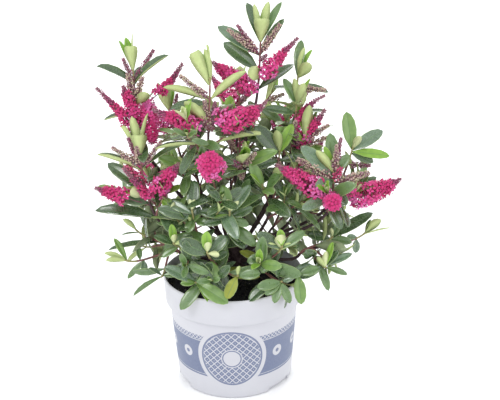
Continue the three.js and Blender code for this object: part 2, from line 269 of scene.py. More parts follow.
pot_rings = [
    (64 * mm, 0.0),
    (68.9 * mm, 0.0),
    (69.6 * mm, 0.4 * mm),
    (wall_radius(1.4 * mm), 1.4 * mm),
    (wall_radius(10 * mm), 10 * mm),
    (wall_radius(50 * mm), 50 * mm),
    (wall_radius(101 * mm), 101 * mm),
    (wall_top + 0.1 * mm, shoulder - 1.2 * mm),
    (wall_top + 0.7 * mm, shoulder - 0.3 * mm),
    (wall_top + 1.8 * mm, shoulder),
    (82.2 * mm, shoulder + 0.2 * mm),
    (83.0 * mm, shoulder + 0.7 * mm),
    (83.4 * mm, shoulder + 1.7 * mm),
    (84.0 * mm, shoulder + 14 * mm),
    (84.5 * mm, pot_height - 6 * mm),
    (84.8 * mm, pot_height - 4.4 * mm),
    (rim_radius, pot_height - 3 * mm),
    (rim_radius - 0.05 * mm, pot_height - 1.6 * mm),
    (rim_radius - 0.5 * mm, pot_height - 0.5 * mm),
    (rim_radius - 1.2 * mm, pot_height),
    (rim_radius - 1.9 * mm, pot_height - 0.3 * mm),
    (rim_radius - 2.4 * mm, pot_height - 1.4 * mm),
    (82.2 * mm, pot_height - 8 * mm),
    (81.9 * mm, shoulder + 3 * mm),
    (77.3 * mm, shoulder - 2 * mm),
    (wall_radius(10 * mm) - wall_thickness, 10 * mm),
    (60 * mm, 9 * mm),
]
pot_shell = turned("pot_shell", pot_rings, pot_sides)

for azimuth in notch_azimuths:
    around = math.radians(azimuth)
    place = spoke(around, foot_radius)
    bpy.ops.object.select_all(action="DESELECT")
    bpy.ops.mesh.primitive_cube_add(size=1, location=place, rotation=(0, 0, around), scale=notch_size)
    notch = bpy.context.object
    bpy.ops.object.transform_apply(location=False, rotation=False, scale=True)
    bpy.ops.object.modifier_add(type="BEVEL")
    notch.modifiers[-1].width = notch_bevel
    notch.modifiers[-1].segments = 3
    bpy.ops.object.modifier_apply(modifier=notch.modifiers[-1].name)
    cut_away(pot_shell, notch)

for azimuth in drain_azimuths:
    around = math.radians(azimuth)
    bpy.ops.object.select_all(action="DESELECT")
    bpy.ops.mesh.primitive_cylinder_add(
        vertices=20,
        radius=drain_radius,
        depth=drain_length,
        location=spoke(around, drain_reach) + Vector((0, 0, drain_height)),
        rotation=(0, math.pi / 2, around),
    )
    cut_away(pot_shell, bpy.context.object)

select_only(pot_shell)
bpy.ops.object.shade_smooth_by_angle(angle=math.radians(40))

white_plastic = linear(203, 203, 208)
white_plastic_shade = linear(195, 195, 202)
slate_print = linear(122, 131, 157)
slate_deep = linear(104, 114, 142)
# the grey of the painted shade on the inner wall over the compost
inner_shade_grey = linear(70, 70, 74)

plastic = Finish("printed_pot_plastic", gloss=0.45)
east = plastic.node("SeparateXYZ", {}, {"Vector": plastic.place()}, "X")
north = Signal(plastic, east.socket.node.outputs["Y"])
height = Signal(plastic, east.socket.node.outputs["Z"])
reach = (east * east + north * north).root()
turn = plastic.node("Math", {"operation": "ARCTAN2"}, {0: east, 1: north * -1.0})
mean_radius = wall_radius(roundel_height)
across = (turn - roundel_turn).repeat(2 * math.pi / roundel_count) * mean_radius
rise = height - roundel_height
from_centre = (across * across + rise * rise).root()
skin_depth = reach - (height * ((wall_top - foot_radius) / shoulder) + (foot_radius - 0.6 * mm))
on_wall = 1 - skin_depth.under(0)
in_band = height.under(band_high) * (1 - height.under(band_low)) * on_wall
in_roundel = from_centre.under(roundel_radius)
in_frieze = in_band * (1 - height.under(band_high - frieze_height))
tooth = (turn * mean_radius).repeat(tooth_pitch).size() * (2 / tooth_pitch)
frieze_rise = (height - (band_high - frieze_height)) / frieze_height
white_teeth = (tooth - (frieze_rise - 0.5).size() * 2).size().under(tooth_half)
under_frieze = (height - (band_high - frieze_height - band_line)).size().under(band_line / 2)
over_foot = (height - (band_low + foot_line_rise)).size().under(band_line / 3)
disc_across = (across.size() - math.pi / roundel_count * mean_radius).size()
disc_turn = disc_across - small_disc_spread * 0.5
disc_reach = (disc_turn * disc_turn + rise * rise).root()
in_small_disc = disc_reach.under(small_disc_radius)
disc_eye = disc_reach.under(small_disc_radius * disc_eye_share)
slate = in_band * (1 - in_roundel)
slate = slate * (1 - in_frieze * white_teeth) * (1 - under_frieze) * (1 - over_foot)
slate = slate * (1 - in_small_disc * (1 - disc_eye))
in_ring = (from_centre - ring_radius).size().under(ring_width / 2)
lean_right = ((across + rise) * (1 / lattice_pitch)).repeat(1.0).size()
lean_left = ((across - rise) * (1 / lattice_pitch)).repeat(1.0).size()
lozenge = lean_right.under(lozenge_half) * lean_left.under(lozenge_half)
lozenge_eye = lean_right.under(lozenge_eye_half) * lean_left.under(lozenge_eye_half)
in_lattice = from_centre.under(ring_radius - lattice_margin) * (1 - from_centre.under(lattice_inner))
inner_ring = (from_centre - lattice_inner + 2 * mm).size().under(ring_width / 3)
slate = slate + in_ring + inner_ring + in_lattice * lozenge * (1 - lozenge_eye)
moulding = plastic.grain(38.0)
plain = plastic.blend(moulding, white_plastic_shade, white_plastic)
ink = plastic.blend(plastic.grain(420.0), slate_deep, slate_print)
# Painted shade: grey over the inner wall from under the compost to a little over it, fading upward in ragged
# patches.
inner_shade = (1 - on_wall) * (1 - height.under(inner_shade_foot)) * reach.under(inner_shade_reach)
inner_shade = inner_shade * (1 - (plastic.grain(160.0, 4.0) - (height - inner_shade_fade) * 40).under(0.62))
skinned = plastic.blend(slate, plain, ink)
plastic.colour(plastic.blend(inner_shade * 0.75, skinned, inner_shade_grey))
plastic.rough(0.36 + plastic.grain(120.0) * 0.12 + slate * 0.04)
plastic.relief(plastic.grain(900.0, 2.0), 0.03 * mm)
pot_shell.data.materials.append(plastic.material)

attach(pot_shell, "root")
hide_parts("pot")

# ---------------------------------------------------------------- the compost
# Dark peat and fine bark, pressed in loose and watered: a lumpy bed that dips to the wall, with
# crumbs, bark chips and a few pale grains lying on it.

compost_level = 126 * mm
compost_edge = 81.2 * mm
compost_sink = 3.2 * mm
bed_top = 123 * mm
bed_ring_step = 2 * mm
mound_height = 3.0 * mm
lump_height = 1.3 * mm
crumb_height = 0.55 * mm
crumb_count = 2600
crumb_sizes = (0.5 * mm, 1.9 * mm)

bed_rings = [(70 * mm, 108 * mm), (81.0 * mm, 112 * mm), (compost_edge, 121.5 * mm)]
bed_rings += [(compost_edge - bed_ring_step * k, bed_top) for k in range(1, 40)]
compost_bed = turned("compost_bed", bed_rings, 132)


def bed_height(x, y):
    """How high the compost stands: a low mound round the stem, with lumps and crumbs on it."""
    reach = math.hypot(x, y)
    mound = mound_height * (1 - min(1.0, reach / compost_edge) ** 3)
    lumps = noise.fractal(Vector((x, y, 0.3)) * 95, 1.0, 2.0, 3) * lump_height
    crumbs = noise.noise(Vector((x, y, 5.0)) * 520) * crumb_height
    return compost_level - compost_sink + mound + lumps + crumbs


for corner in compost_bed.data.vertices:
    if corner.co.z > bed_top - 1 * mm:
        corner.co.z = bed_height(corner.co.x, corner.co.y)


class Heap:
    """Many small shapes gathered into one mesh, each face with its material's number."""

    def __init__(self):
        self.points = []
        self.corners = []
        self.counts = []
        self.slots = []
        self.total = 0

    def add(self, points, faces, slots):
        """Adds copies of one shape: its faces as lists of point numbers, the points as
        copies x corners x 3 and the slots as copies x faces."""
        copies, corners, _ = points.shape
        once = np.concatenate([np.asarray(face) for face in faces])
        starts = self.total + corners * np.arange(copies)[:, None]
        self.points.append(points.reshape(-1, 3))
        self.corners.append((once[None, :] + starts).ravel())
        self.counts.append(np.tile([len(face) for face in faces], copies))
        self.slots.append(np.broadcast_to(slots, (copies, len(faces))).ravel())
        self.total += copies * corners

    def piece(self, name, finishes, smooth=True):
        """The heap as one object at the origin."""
        mesh = bpy.data.meshes.new(name)
        points = np.concatenate(self.points)
        corners = np.concatenate(self.corners)
        counts = np.concatenate(self.counts)
        mesh.vertices.add(len(points))
        mesh.vertices.foreach_set("co", points.astype(np.float32).ravel())
        mesh.loops.add(len(corners))
        mesh.loops.foreach_set("vertex_index", corners.astype(np.int32))
        mesh.polygons.add(len(counts))
        starts = np.concatenate([[0], np.cumsum(counts)[:-1]])
        mesh.polygons.foreach_set("loop_start", starts.astype(np.int32))
        mesh.polygons.foreach_set("material_index", np.concatenate(self.slots).astype(np.int32))
        mesh.polygons.foreach_set("use_smooth", np.full(len(counts), smooth))
        mesh.update(calc_edges=True)
        for finish in finishes:
            mesh.materials.append(finish.material)
        made = bpy.data.objects.new(name, mesh)
        bpy.context.scene.collection.objects.link(made)
        return made


def any_turns(draw, count):
    """Turns about no axis in particular, as count x 3 x 3."""
    q = draw.normal(size=(count, 4))
    w, x, y, z = (q / np.linalg.norm(q, axis=1)[:, None]).T
    rows = [
        [1 - 2 * (y * y + z * z), 2 * (x * y - z * w), 2 * (x * z + y * w)],
        [2 * (x * y + z * w), 1 - 2 * (x * x + z * z), 2 * (y * z - x * w)],
        [2 * (x * z - y * w), 2 * (y * z + x * w), 1 - 2 * (x * x + y * y)],
    ]
    return np.array(rows).transpose(2, 0, 1)


bpy.ops.object.select_all(action="DESELECT")
bpy.ops.mesh.primitive_ico_sphere_add(subdivisions=1, radius=1.0)
lump = bpy.context.object
lump_points = np.array([corner.co for corner in lump.data.vertices])
lump_faces = [list(face.vertices) for face in lump.data.polygons]
bpy.data.objects.remove(lump)

crumb_draw = np.random.default_rng(41)
around = crumb_draw.uniform(0, 2 * math.pi, crumb_count)
reach = (compost_edge - 2.2 * mm) * np.sqrt(crumb_draw.uniform(0, 1, crumb_count))
places = np.stack([reach * np.cos(around), reach * np.sin(around), np.zeros(crumb_count)], -1)
places[:, 2] = [bed_height(x, y) for x, y, _ in places]
low_size, high_size = crumb_sizes
sizes = low_size + (high_size - low_size) * crumb_draw.uniform(0, 1, crumb_count) ** 2.6
long_ways = 1 + crumb_draw.uniform(0, 1, (crumb_count, 1)) ** 4 * 2.4
stretch = np.concatenate([long_ways, crumb_draw.uniform(0.5, 1.0, (crumb_count, 2))], 1)
shapes = lump_points[None] * stretch[:, None, :] * sizes[:, None, None]
shapes = shapes * crumb_draw.uniform(0.75, 1.2, (crumb_count, len(lump_points), 1))
shapes = shapes @ any_turns(crumb_draw, crumb_count).transpose(0, 2, 1) + places[:, None, :]
kinds = crumb_draw.choice([0, 1, 2], crumb_count, p=[0.72, 0.24, 0.04])
crumbs = Heap()
crumbs.add(shapes, lump_faces, kinds[:, None])


def earthy(name, dark, light, roughness):
    finish = Finish(name, gloss=0.25)
    finish.colour(finish.blend(finish.grain(700.0, 3.0), dark, light))
    finish.rough(roughness - finish.grain(300.0) * 0.15)
    finish.relief(finish.grain(1600.0, 3.0), 0.35 * mm)
    return finish


peat = earthy("wet_peat", linear(9, 10, 13), linear(34, 34, 37), 0.98)
fine_bark = earthy("fine_bark", linear(38, 32, 31), linear(66, 58, 54), 0.95)
pale_grain = earthy("pale_grain", linear(96, 92, 86), linear(140, 134, 124), 0.9)
compost_bed.data.materials.append(peat.material)
compost_bed.data.shade_smooth()
compost_crumbs = crumbs.piece("compost_crumbs", [peat, fine_bark, pale_grain], smooth=False)
for piece in (compost_bed, compost_crumbs):
    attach(piece, "root")
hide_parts("compost")

# ---------------------------------------------------------------- the stem and its boughs
# A short woody stem leans out of the compost and forks low down. Its boughs are dark purple-brown,
# finely fissured, and ringed where old leaf pairs fell off.

stem_foot = np.array([8, 4, 126.35]) * mm
stem_fork = np.array([0, -2, 176]) * mm
stem_foot_radius = 6.5 * mm
stem_fork_radius = 4.2 * mm
root_flare = 2.6 * mm
stem_relief = 0.32 * mm
bough_span = (0.32, 0.94)
fork_heights = (24 * mm, 204 * mm)
bough_radius = 2.2 * mm
bough_tip_radius = 1.75 * mm
bough_relief = 0.1 * mm
scar_spacing = 13 * mm
bough_scar_height = 0.35 * mm
stem_sides = 28
stem_ring_gap = 0.9 * mm
bough_sides = 14
bough_ring_gap = 1.5 * mm
up = np.array([0.0, 0.0, 1.0])

# Each mass of foliage: the fork where its bough ends, the tips of its leading shoots, the tips of
# its flowering racemes with their radius, the share that has opened, the share of bare stalk and
# the sag, and how many side shoots fill it out to what spread. Heights are over the compost.
masses = [
    ("crown_top", (24, 8, 196), [(39, 20, 302), (54, 28, 234)],
     [(80, 0, 300, 11.5, 0.62, 0.1, 0), (-20, 0, 275, 13, 0.8, 0.1, 0)], 1, 34),
    ("crown_left", (-96, 0, 164), [(-109, 10, 266)],
     [(-151, 0, 247, 11, 0.5, 0.1, 0), (-120, -8, 251, 10, 0.85, 0.1, 0),
      (-52, 20, 268, 10.5, 0.58, 0.3, 4), (-88, -24, 187, 12.5, 0.92, 0.1, 0)], 2, 34),
    ("crown_centre", (-20, -36, 140), [(-20, -45, 269)],
     [(42, -58, 244, 15.5, 0.78, 0.15, 9), (-84, -58, 238, 13, 0.72, 0.2, 0)], 1, 34),
    ("crown_right", (66, 12, 136), [(82, 30, 248), (79, 8, 220), (90, 0, 181)],
     [(112, 8, 229, 7, 0.6, 0.2, -14), (111, -4, 216, 8.5, 0.7, 0.1, 2)], 1, 36),
    ("middle_right", (40, -22, 84), [(58, -12, 170), (84, -38, 118), (36, -42, 140)], [], 1, 34),
    ("right_flowering", (112, -34, 100), [(118, -45, 154), (143, -42, 128)],
     [(52, -56, 168, 13, 0.8, 0.05, 0), (194, -54, 147, 16, 0.82, 0.07, 3), (113, -102, 140, 12, 1, 0.4, 0)],
     1, 30),
    ("far_right", (118, 10, 92), [(147, 20, 162), (160, 32, 122)], [], 1, 30),
    ("right_low", (80, -24, 42), [(121, -14, 60), (162, 0, 58), (110, -50, 36)], [], 1, 26),
    ("left_flowering", (-86, -22, 90), [(-104, -30, 175), (-76, -34, 130)],
     [(-58, -48, 170, 13.5, 0.8, 0.25, 0), (-156, -38, 139, 13.5, 0.82, 0.45, 0),
      (-121, -44, 164, 9, 0.45, 0.3, 0)], 1, 30),
    ("left_low", (-62, -18, 44), [(-116, -4, 72), (-128, -28, 42), (-84, -54, 31)], [], 1, 26),
    ("front_left", (-30, -30, 46), [(-45, -60, 118), (-68, -62, 78)], [], 1, 26),
    ("front_centre", (-2, -32, 70), [(-2, -65, 118), (-22, -56, 164)],
     [(-21, -118, 198, 17, 1, 0.48, 0)], 0, 26),
    ("front_low", (-12, -34, 24), [(-29, -84, 76), (-44, -76, 34), (6, -86, 46)], [], 0, 24),
    ("front_right", (28, -32, 26), [(57, -82, 80), (56, -88, 38), (78, -66, 36)], [], 1, 26),
    ("middle_left", (-30, 4, 100), [(-44, 2, 196), (-64, -6, 154)], [], 2, 34),
    ("middle_top", (10, 12, 114), [(0, 20, 196), (14, -40, 172)], [], 2, 38),
    ("back_top", (6, 50, 118), [(14, 86, 216)], [(-22, 134, 222, 13, 0.7, 0.1, 4)], 2, 42),
    ("back_left_top", (-50, 46, 110), [(-74, 82, 200)], [(-116, 112, 200, 13, 0.7, 0.1, 4)], 3, 42),
    ("back_right_top", (54, 52, 102), [(84, 92, 188)], [(100, 130, 196, 12, 0.7, 0.1, 4)], 3, 42),
    ("back_left", (-74, 32, 66), [(-134, 66, 114)], [(-125, 110, 140, 13, 0.7, 0.1, 4)], 3, 40),
    ("back_right", (74, 44, 60), [(128, 88, 102)], [(120, 120, 140, 13, 0.7, 0.1, 4)], 3, 40),
    ("back", (0, 62, 64), [(2, 140, 134)], [(40, 172, 168, 13, 0.7, 0.1, 4)], 3, 42),
    ("back_left_low", (-38, 44, 28), [(-84, 112, 56)], [], 3, 36),
    ("back_right_low", (40, 48, 26), [(82, 124, 50)], [], 3, 36),
]


def unit(vector):
    return vector / np.linalg.norm(vector)


def square_to(vector, axis):
    """The part of a vector that is square to an axis, made one unit long."""
    return unit(vector - axis * (vector @ axis))


def swung(vector, axis, angle):
    """A vector that is square to an axis, turned round it."""
    return vector * math.cos(angle) + np.cross(axis, vector) * math.sin(angle)


def graded(values, first, second, kinds):
    """One of three kinds for each value: for those under `first`, under `second`, and the rest."""
    return np.where(values < first, kinds[0], np.where(values < second, kinds[1], kinds[2]))


def spot(place):
    """A place in the table of masses, in metres over the pot's underside."""
    return np.array([place[0] * mm, place[1] * mm, place[2] * mm + compost_level])


class Run:
    """A smooth line that wood grows along, from four corners, measured by its length."""

    def __init__(self, corners, steps=40):
        t = np.linspace(0, 1, steps + 1)[:, None]
        a, b, c, d = (np.asarray(corner, float) for corner in corners)
        self.points = (1 - t) ** 3 * a + 3 * (1 - t) ** 2 * t * b + 3 * (1 - t) * t * t * c + t**3 * d
        strides = np.linalg.norm(np.diff(self.points, axis=0), axis=1)
        self.marks = np.concatenate([[0], np.cumsum(strides)])
        self.length = self.marks[-1]

    def at(self, share):
        """The point, or points, at a share of the length."""
        far = np.asarray(share) * self.length
        return np.stack([np.interp(far, self.marks, self.points[:, k]) for k in range(3)], -1)

    def heading(self, share):
        share = np.asarray(share, float)
        ahead = self.at(np.minimum(share + 0.02, 1)) - self.at(np.maximum(share - 0.02, 0))
        return ahead / np.linalg.norm(ahead, axis=-1, keepdims=True)


def rings_round(run, girth, sides, spacing):
    """The skin of a limb, as the points and faces of one copy: girth gives its radius at each
    distance from the foot and angle."""
    count = max(3, round(run.length / spacing))
    shares = np.linspace(0, 1, count + 1)
    centres, headings = run.at(shares), run.heading(shares)
    side = unit(np.cross(headings[0], [0.3, 1.0, 0.2]))
    sides_along = []
    for heading in headings:
        side = square_to(side, heading)
        sides_along.append(side)
    normals = np.array(sides_along)
    binormals = np.cross(headings, normals)
    angles = np.linspace(0, 2 * math.pi, sides, endpoint=False)
    radii = girth(shares[:, None] * run.length, angles[None, :])[..., None]
    outwards = np.cos(angles)[None, :, None] * normals[:, None, :]
    outwards = outwards + np.sin(angles)[None, :, None] * binormals[:, None, :]
    points = (centres[:, None, :] + radii * outwards).reshape(1, -1, 3)
    ring, step = np.meshgrid(np.arange(count), np.arange(sides), indexing="ij")
    a, b = ring * sides + step, ring * sides + (step + 1) % sides
    faces = np.stack([a, b, b + sides, a + sides], -1).reshape(-1, 4).tolist()
    faces.append(list(range(sides))[::-1])
    faces.append(list(range(count * sides, (count + 1) * sides)))
    return points, faces


stem_run = Run([stem_foot, stem_foot + np.array([0, 0, 14]) * mm,
                stem_fork + np.array([3, 1, -18]) * mm, stem_fork])


def bough_run(fork):
    """A bough leaves the stem higher for a higher fork, on the side that faces the fork."""
    low_fork, high_fork = fork_heights
    height = min(1.0, max(0.0, (fork[2] - compost_level - low_fork) / (high_fork - low_fork)))
    root = stem_run.at(bough_span[0] + (bough_span[1] - bough_span[0]) * height)
    outward = unit(np.array([fork[0] - root[0], fork[1] - root[1], 0]))
    reach = np.linalg.norm(fork - root)
    rising = outward * (0.9 - 0.3 * height) + up * 0.7
    return Run([root, root + rising * reach * 0.34,
                fork - up * reach * 0.22 - outward * reach * 0.12, fork])


def rings_of_scars(far, spacing, height):
    """Low swellings at a spacing along a limb, where leaf pairs grew."""
    phase = (far / spacing) % 1.0 - 0.5
    return height * np.exp(-((phase / 0.11) ** 2))


def fissured(far, angle, seed, depth):
    """A bark's relief: fissures that run along the limb and wander."""
    wander = 0.5 * np.sin(far * 210 + seed) + 0.35 * np.sin(far * 470 + 2 * seed)
    ridges = np.sin(5 * angle + wander * 2 + seed) + 0.6 * np.sin(9 * angle - wander * 3)
    steps = np.sin(far * 900 + 3 * np.sin(angle * 2 + seed))
    return depth * (0.6 * ridges + 0.3 * steps)


def stem_girth(far, angle):
    share = far / stem_run.length
    flare = root_flare * np.exp(-share * 9) * (1 + 0.4 * np.cos(3 * angle + 0.6))
    girth = stem_foot_radius + (stem_fork_radius - stem_foot_radius) * share
    return girth + flare + fissured(far, angle, 1.0, stem_relief)


def bough_girth(run, seed):
    """How thick a bough is: it thins along its run, ringed and fissured."""

    def girth(far, angle):
        thick = bough_radius + (bough_tip_radius - bough_radius) * far / run.length
        thick = thick + rings_of_scars(far, scar_spacing, bough_scar_height)
        return thick + fissured(far, angle, seed, bough_relief)

    return girth


wood = Heap()
wood.add(*rings_round(stem_run, stem_girth, stem_sides, stem_ring_gap), 0)
bough_runs = [bough_run(spot(mass[1])) for mass in masses]
for number, run in enumerate(bough_runs):
    wood.add(*rings_round(run, bough_girth(run, number), bough_sides, bough_ring_gap), 0)


def bark_finish(name, dark, light, roughness, depth):
    finish = Finish(name, gloss=0.3)
    finish.colour(finish.blend(finish.grain(420.0, 4.0, 0.7), dark, light))
    finish.rough(roughness + finish.grain(260.0) * 0.15)
    finish.relief(finish.grain(1300.0, 4.0, 0.7), depth)
    return finish


old_bark = bark_finish("old_bark", linear(40, 29, 34), linear(92, 72, 74), 0.7, 0.5 * mm)
stem_and_boughs = wood.piece("stem_and_boughs", [old_bark])
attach(stem_and_boughs, "root")
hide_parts("trunk", *[f"bough_{mass[0]}" for mass in masses])

# ---------------------------------------------------------------- the shoots
# Each bough hands over to a spray of green-tipped shoots that turn up to the light. The wood of a
# shoot is purple-brown low down, pinkish where it is younger, and green under its youngest leaves.

clearance = 0.35 * mm
crown_from = compost_level + 168 * mm
shoot_tip_radius = 1.0 * mm
twig_radius = 0.95 * mm
twig_tip_radius = 0.65 * mm
twig_axils = (30, 46, 62, 80, 100, 120)
twig_chance = 0.22
lowest_twig = 10 * mm
shortest_twig = 20 * mm
longest_twig = 42 * mm
twig_lift = 6 * mm
shoot_ring_gap = 3 * mm
green_wood = {"crown": 9 * mm, "rosette": 16 * mm, "twig": 12 * mm}
young_wood = 60 * mm
shoot_scar_height = 0.25 * mm
first_scar = 4 * mm


def stream(seed):
    """A seeded stream of numbers from 0 to 1, the same on every run."""
    state = seed * 7919 + 13

    def draw():
        nonlocal state
        state = (state * 1664525 + 1013904223) % 4294967296
        return state / 4294967296

    return draw


def sideways(along, turn):
    """A direction square to `along`, turned by `turn` round it."""
    return swung(unit(np.cross(along, up)), along, turn)


def shoot_run(root, along, tip):
    """A shoot starts along `along` and turns upwards towards its tip."""
    reach = np.linalg.norm(tip - root)
    ending = unit(unit(tip - root) * 0.8 + up * 0.5)
    return Run([root, root + along * reach * 0.3, tip - ending * reach * 0.3, tip])


# Places that stay open as seen from the front, set in steps of 5 mm: where the line of sight
# crosses the plane y = 0 (x, and height over the compost), and how far shoots and leaves keep from
# it, in millimetres.
viewpoint = np.array([1.5, -1277, 749]) * mm
open_left = [(-140, 245, 20), (-165, 220, 16), (-100, 255, 14), (-145, 195, 22), (-105, 190, 12),
             (-90, 170, 12), (-140, 140, 14), (-100, 115, 10), (-145, 75, 20), (-120, 75, 12),
             (-125, 55, 14), (-145, 25, 14), (-105, 30, 12), (-100, 0, 14)]
open_middle = [(-55, 170, 11), (5, 170, 11), (-25, 185, 9), (-65, 130, 9), (-40, 130, 11),
               (0, 125, 9), (-35, 70, 13), (-10, 70, 9), (15, 65, 9), (40, 70, 10), (40, 125, 7)]
open_right = [(70, 280, 14), (65, 250, 11), (115, 225, 16), (110, 185, 14), (170, 140, 11),
              (130, 130, 11), (105, 130, 9), (150, 90, 12), (155, 55, 13), (135, 50, 9),
              (140, 20, 14), (130, -5, 12), (100, -10, 13)]
open_over_compost = [(10, 25, 15), (20, -15, 20), (-30, -20, 15), (-60, -10, 13), (-75, 25, 11),
                     (35, -30, 12)]
sky_gaps = np.array(open_left + open_middle + open_right + open_over_compost) * mm
sky_gaps[:, 1] += compost_level


def in_sky_gap(points):
    for point in points:
        far = viewpoint[1] / (viewpoint[1] - point[1])
        seen = viewpoint + (point - viewpoint) * far
        apart = np.hypot(sky_gaps[:, 0] - seen[0], sky_gaps[:, 1] - seen[2])
        if np.any(apart < sky_gaps[:, 2]):
            return True
    return False


class Shoot:
    """One leafy shoot: its line, its girth, and how its pairs of leaves sit on it."""

    def __init__(self, run, width, mass, twist, kind, label=None):
        self.run = run
        self.width = width
        self.mass = mass
        self.twist = twist
        self.kind = kind
        self.label = label

    def facing(self, share):
        """The way that the first pair of leaves faces: at the viewer, but for the twist."""
        along = self.run.heading(share)
        face = np.array([0.0, -1.0, 0.0]) - along * -along[1]
        if np.linalg.norm(face) < 0.35:
            face = square_to(np.array([0.0, -0.3, 1.0]), along)
        return swung(unit(face), along, self.twist)

    def girth(self, far, angle):
        thin = twig_tip_radius if self.kind == "twig" else shoot_tip_radius
        thick = self.width + (thin - self.width) * far / self.run.length + 0 * angle
        below = self.run.length - far
        return thick + rings_of_scars(below + first_scar, scar_spacing, shoot_scar_height)


shoots = []
for number, (name, fork, tips, _, side_count, spread) in enumerate(masses):
    random = stream(number + 1)
    along = bough_runs[number].heading(1.0)
    root = spot(fork) + along * clearance
    tips = [spot(tip) for tip in tips]
    named = len(tips)
    leader = shoot_run(root, along, tips[0])
    heading = unit(tips[0] - root)
    for k in range(side_count):
        turn_by = k * 2.4 + random() * 1.2
        out = sideways(heading, turn_by) * (spread * mm * (0.85 + 0.3 * random()))
        tips.append(root + (tips[0] - root) * (0.62 + 0.2 * random()) + out)
    for k, tip in enumerate(tips):
        share = 0.06 + 0.5 * max(0, k - 1) / len(tips)
        foot = leader.at(share)
        parting = unit(unit(tip - foot) + leader.heading(share) * 0.4)
        run = leader if k == 0 else shoot_run(foot, parting, tip)
        twist = random() * math.pi
        if k < named:
            twist = (twist / math.pi - 0.5) * 0.7
        elif in_sky_gap([run.at(0.75), tip]):
            continue
        width = bough_tip_radius if k == 0 else bough_tip_radius * 0.85
        kind = "crown" if tip[2] > crown_from and k < named else "rosette"
        shoots.append(Shoot(run, width, number, twist, kind, (name, k)))

# Finer twigs: short shoots out of the leaf axils, between the longer ones.
twig_draw = stream(77)
for shoot in list(shoots):
    length = shoot.run.length
    for below in twig_axils:
        far = length - below * mm
        if far < lowest_twig:
            break
        if shoot.kind == "crown" and below < 62:
            continue
        for hand in (-1, 1):
            if twig_draw() > twig_chance:
                continue
            along = shoot.run.heading(far / length)
            out = swung(shoot.facing(far / length), along, twig_draw() * 2 * math.pi)
            foot = shoot.run.at(far / length)
            reach = shortest_twig + (longest_twig - shortest_twig) * twig_draw()
            tip = foot + unit(along * 0.7 + out) * reach + up * twig_lift
            if in_sky_gap([tip]):
                continue
            run = shoot_run(foot, unit(along * 0.5 + out), tip)
            shoots.append(Shoot(run, twig_radius, shoot.mass, twig_draw() * math.pi, "twig"))

twigs = Heap()
for shoot in shoots:
    sides = 6 if shoot.kind == "twig" else 8
    points, faces = rings_round(shoot.run, shoot.girth, sides, shoot_ring_gap)
    rings = points.shape[1] // sides - 1
    below = shoot.run.length * (1 - (np.arange(rings * sides) // sides + 0.5) / rings)
    slots = graded(below, green_wood[shoot.kind], young_wood, (2, 1, 0))
    twigs.add(points, faces, np.concatenate([slots, [slots[0], slots[-1]]]))

old_twig = bark_finish("old_twig", linear(56, 38, 46), linear(96, 74, 76), 0.6, 0.2 * mm)
young_twig = bark_finish("young_twig", linear(112, 66, 74), linear(150, 108, 98), 0.5, 0.1 * mm)
green_twig = bark_finish("green_twig", linear(128, 128, 84), linear(168, 158, 108), 0.45, 0.05 * mm)
foliage_nodes = [f"foliage_{mass[0]}" for mass in masses]
leafy_shoots = twigs.piece("leafy_shoots", [old_twig, young_twig, green_twig])
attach(leafy_shoots, "root")
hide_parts(*foliage_nodes)

# ---------------------------------------------------------------- the flower spikes
# Racemes stand out of the leaf axils. Open florets have four lobes and two long stamens, magenta
# that fades to lilac pink at the foot, and the spike runs out in purple and then small dull buds.

raceme_length = 70 * mm
raceme_radius = 13.5 * mm
floret_spacing = 0.72 * mm
big_bud_spacing = 1.2 * mm
full_bloom = 0.9
floret_depth = 2 * mm
shortest_stand = 3 * mm
floret_rise = 4 * mm
bud_stand = 0.3 * mm
bud_crowding = 1.2 * mm
tight_bud_sizes = (1.9 * mm, 3 * mm)
stalk_ring_gap = 5 * mm
golden_turn = 2.39996


def bloom_root(mass, tip):
    """Where a raceme with this tip leaves the shoots of its mass."""
    best = None
    for shoot in shoots:
        if shoot.mass != mass or shoot.kind == "twig":
            continue
        for share in np.arange(0.1, 0.95, 0.02):
            root = shoot.run.at(share)
            gap = abs(np.linalg.norm(root - tip) - raceme_length) / mm
            lean = unit(tip - root) @ shoot.run.heading(share)
            cost = gap + 14 * abs(lean - 0.6) + 0.04 * shoot.run.length / mm * share
            if best is None or cost < best[0]:
                best = (cost, root)
    return best[1]


def swell(share, opened, radius):
    """How thick a raceme is at a share of its length, next to its thickest: a spindle of open
    florets and over it a slim column of buds, or a taper where nothing has opened."""
    if opened == 0:
        return np.clip(np.minimum(0.35 + share * 4, 1.24 - 0.84 * share), 0.1, 1.0)
    grown = share / opened
    spindle = np.minimum(0.5 + 2.2 * grown, 1 - 0.6 * np.clip((grown - 0.4) / 0.6, 0, 1) ** 1.4)
    column = (5.2 - 3.0 * np.clip((share - opened) / max(1e-6, 1 - opened), 0, 1)) * mm / radius
    return np.where(grown <= 1, spindle, np.minimum(column, 0.1 + share))


def frames_along(directions, draw):
    """For each direction, two more that are square to it, turned at random."""
    helper = np.where(np.abs(directions[:, 2:3]) < 0.8, [[0.0, 0.0, 1.0]], [[1.0, 0.0, 0.0]])
    first = np.cross(directions, helper)
    first = first / np.linalg.norm(first, axis=1, keepdims=True)
    second = np.cross(directions, first)
    turns = draw.uniform(0, 2 * math.pi, (len(directions), 1))
    return (first * np.cos(turns) + second * np.sin(turns),
            second * np.cos(turns) - first * np.sin(turns))


def ring_of(count, radius, centre, start=0.0):
    """Points set evenly round a centre, at one height."""
    angles = start + np.arange(count) * 2 * math.pi / count
    return np.asarray(centre) + np.stack([np.cos(angles), np.sin(angles), 0 * angles], -1) * radius


def band_of(start, count):
    """The faces between a ring of points and the ring that follows it."""
    steps = [(start + k, start + (k + 1) % count) for k in range(count)]
    return [[a, b, b + count, a + count] for a, b in steps]


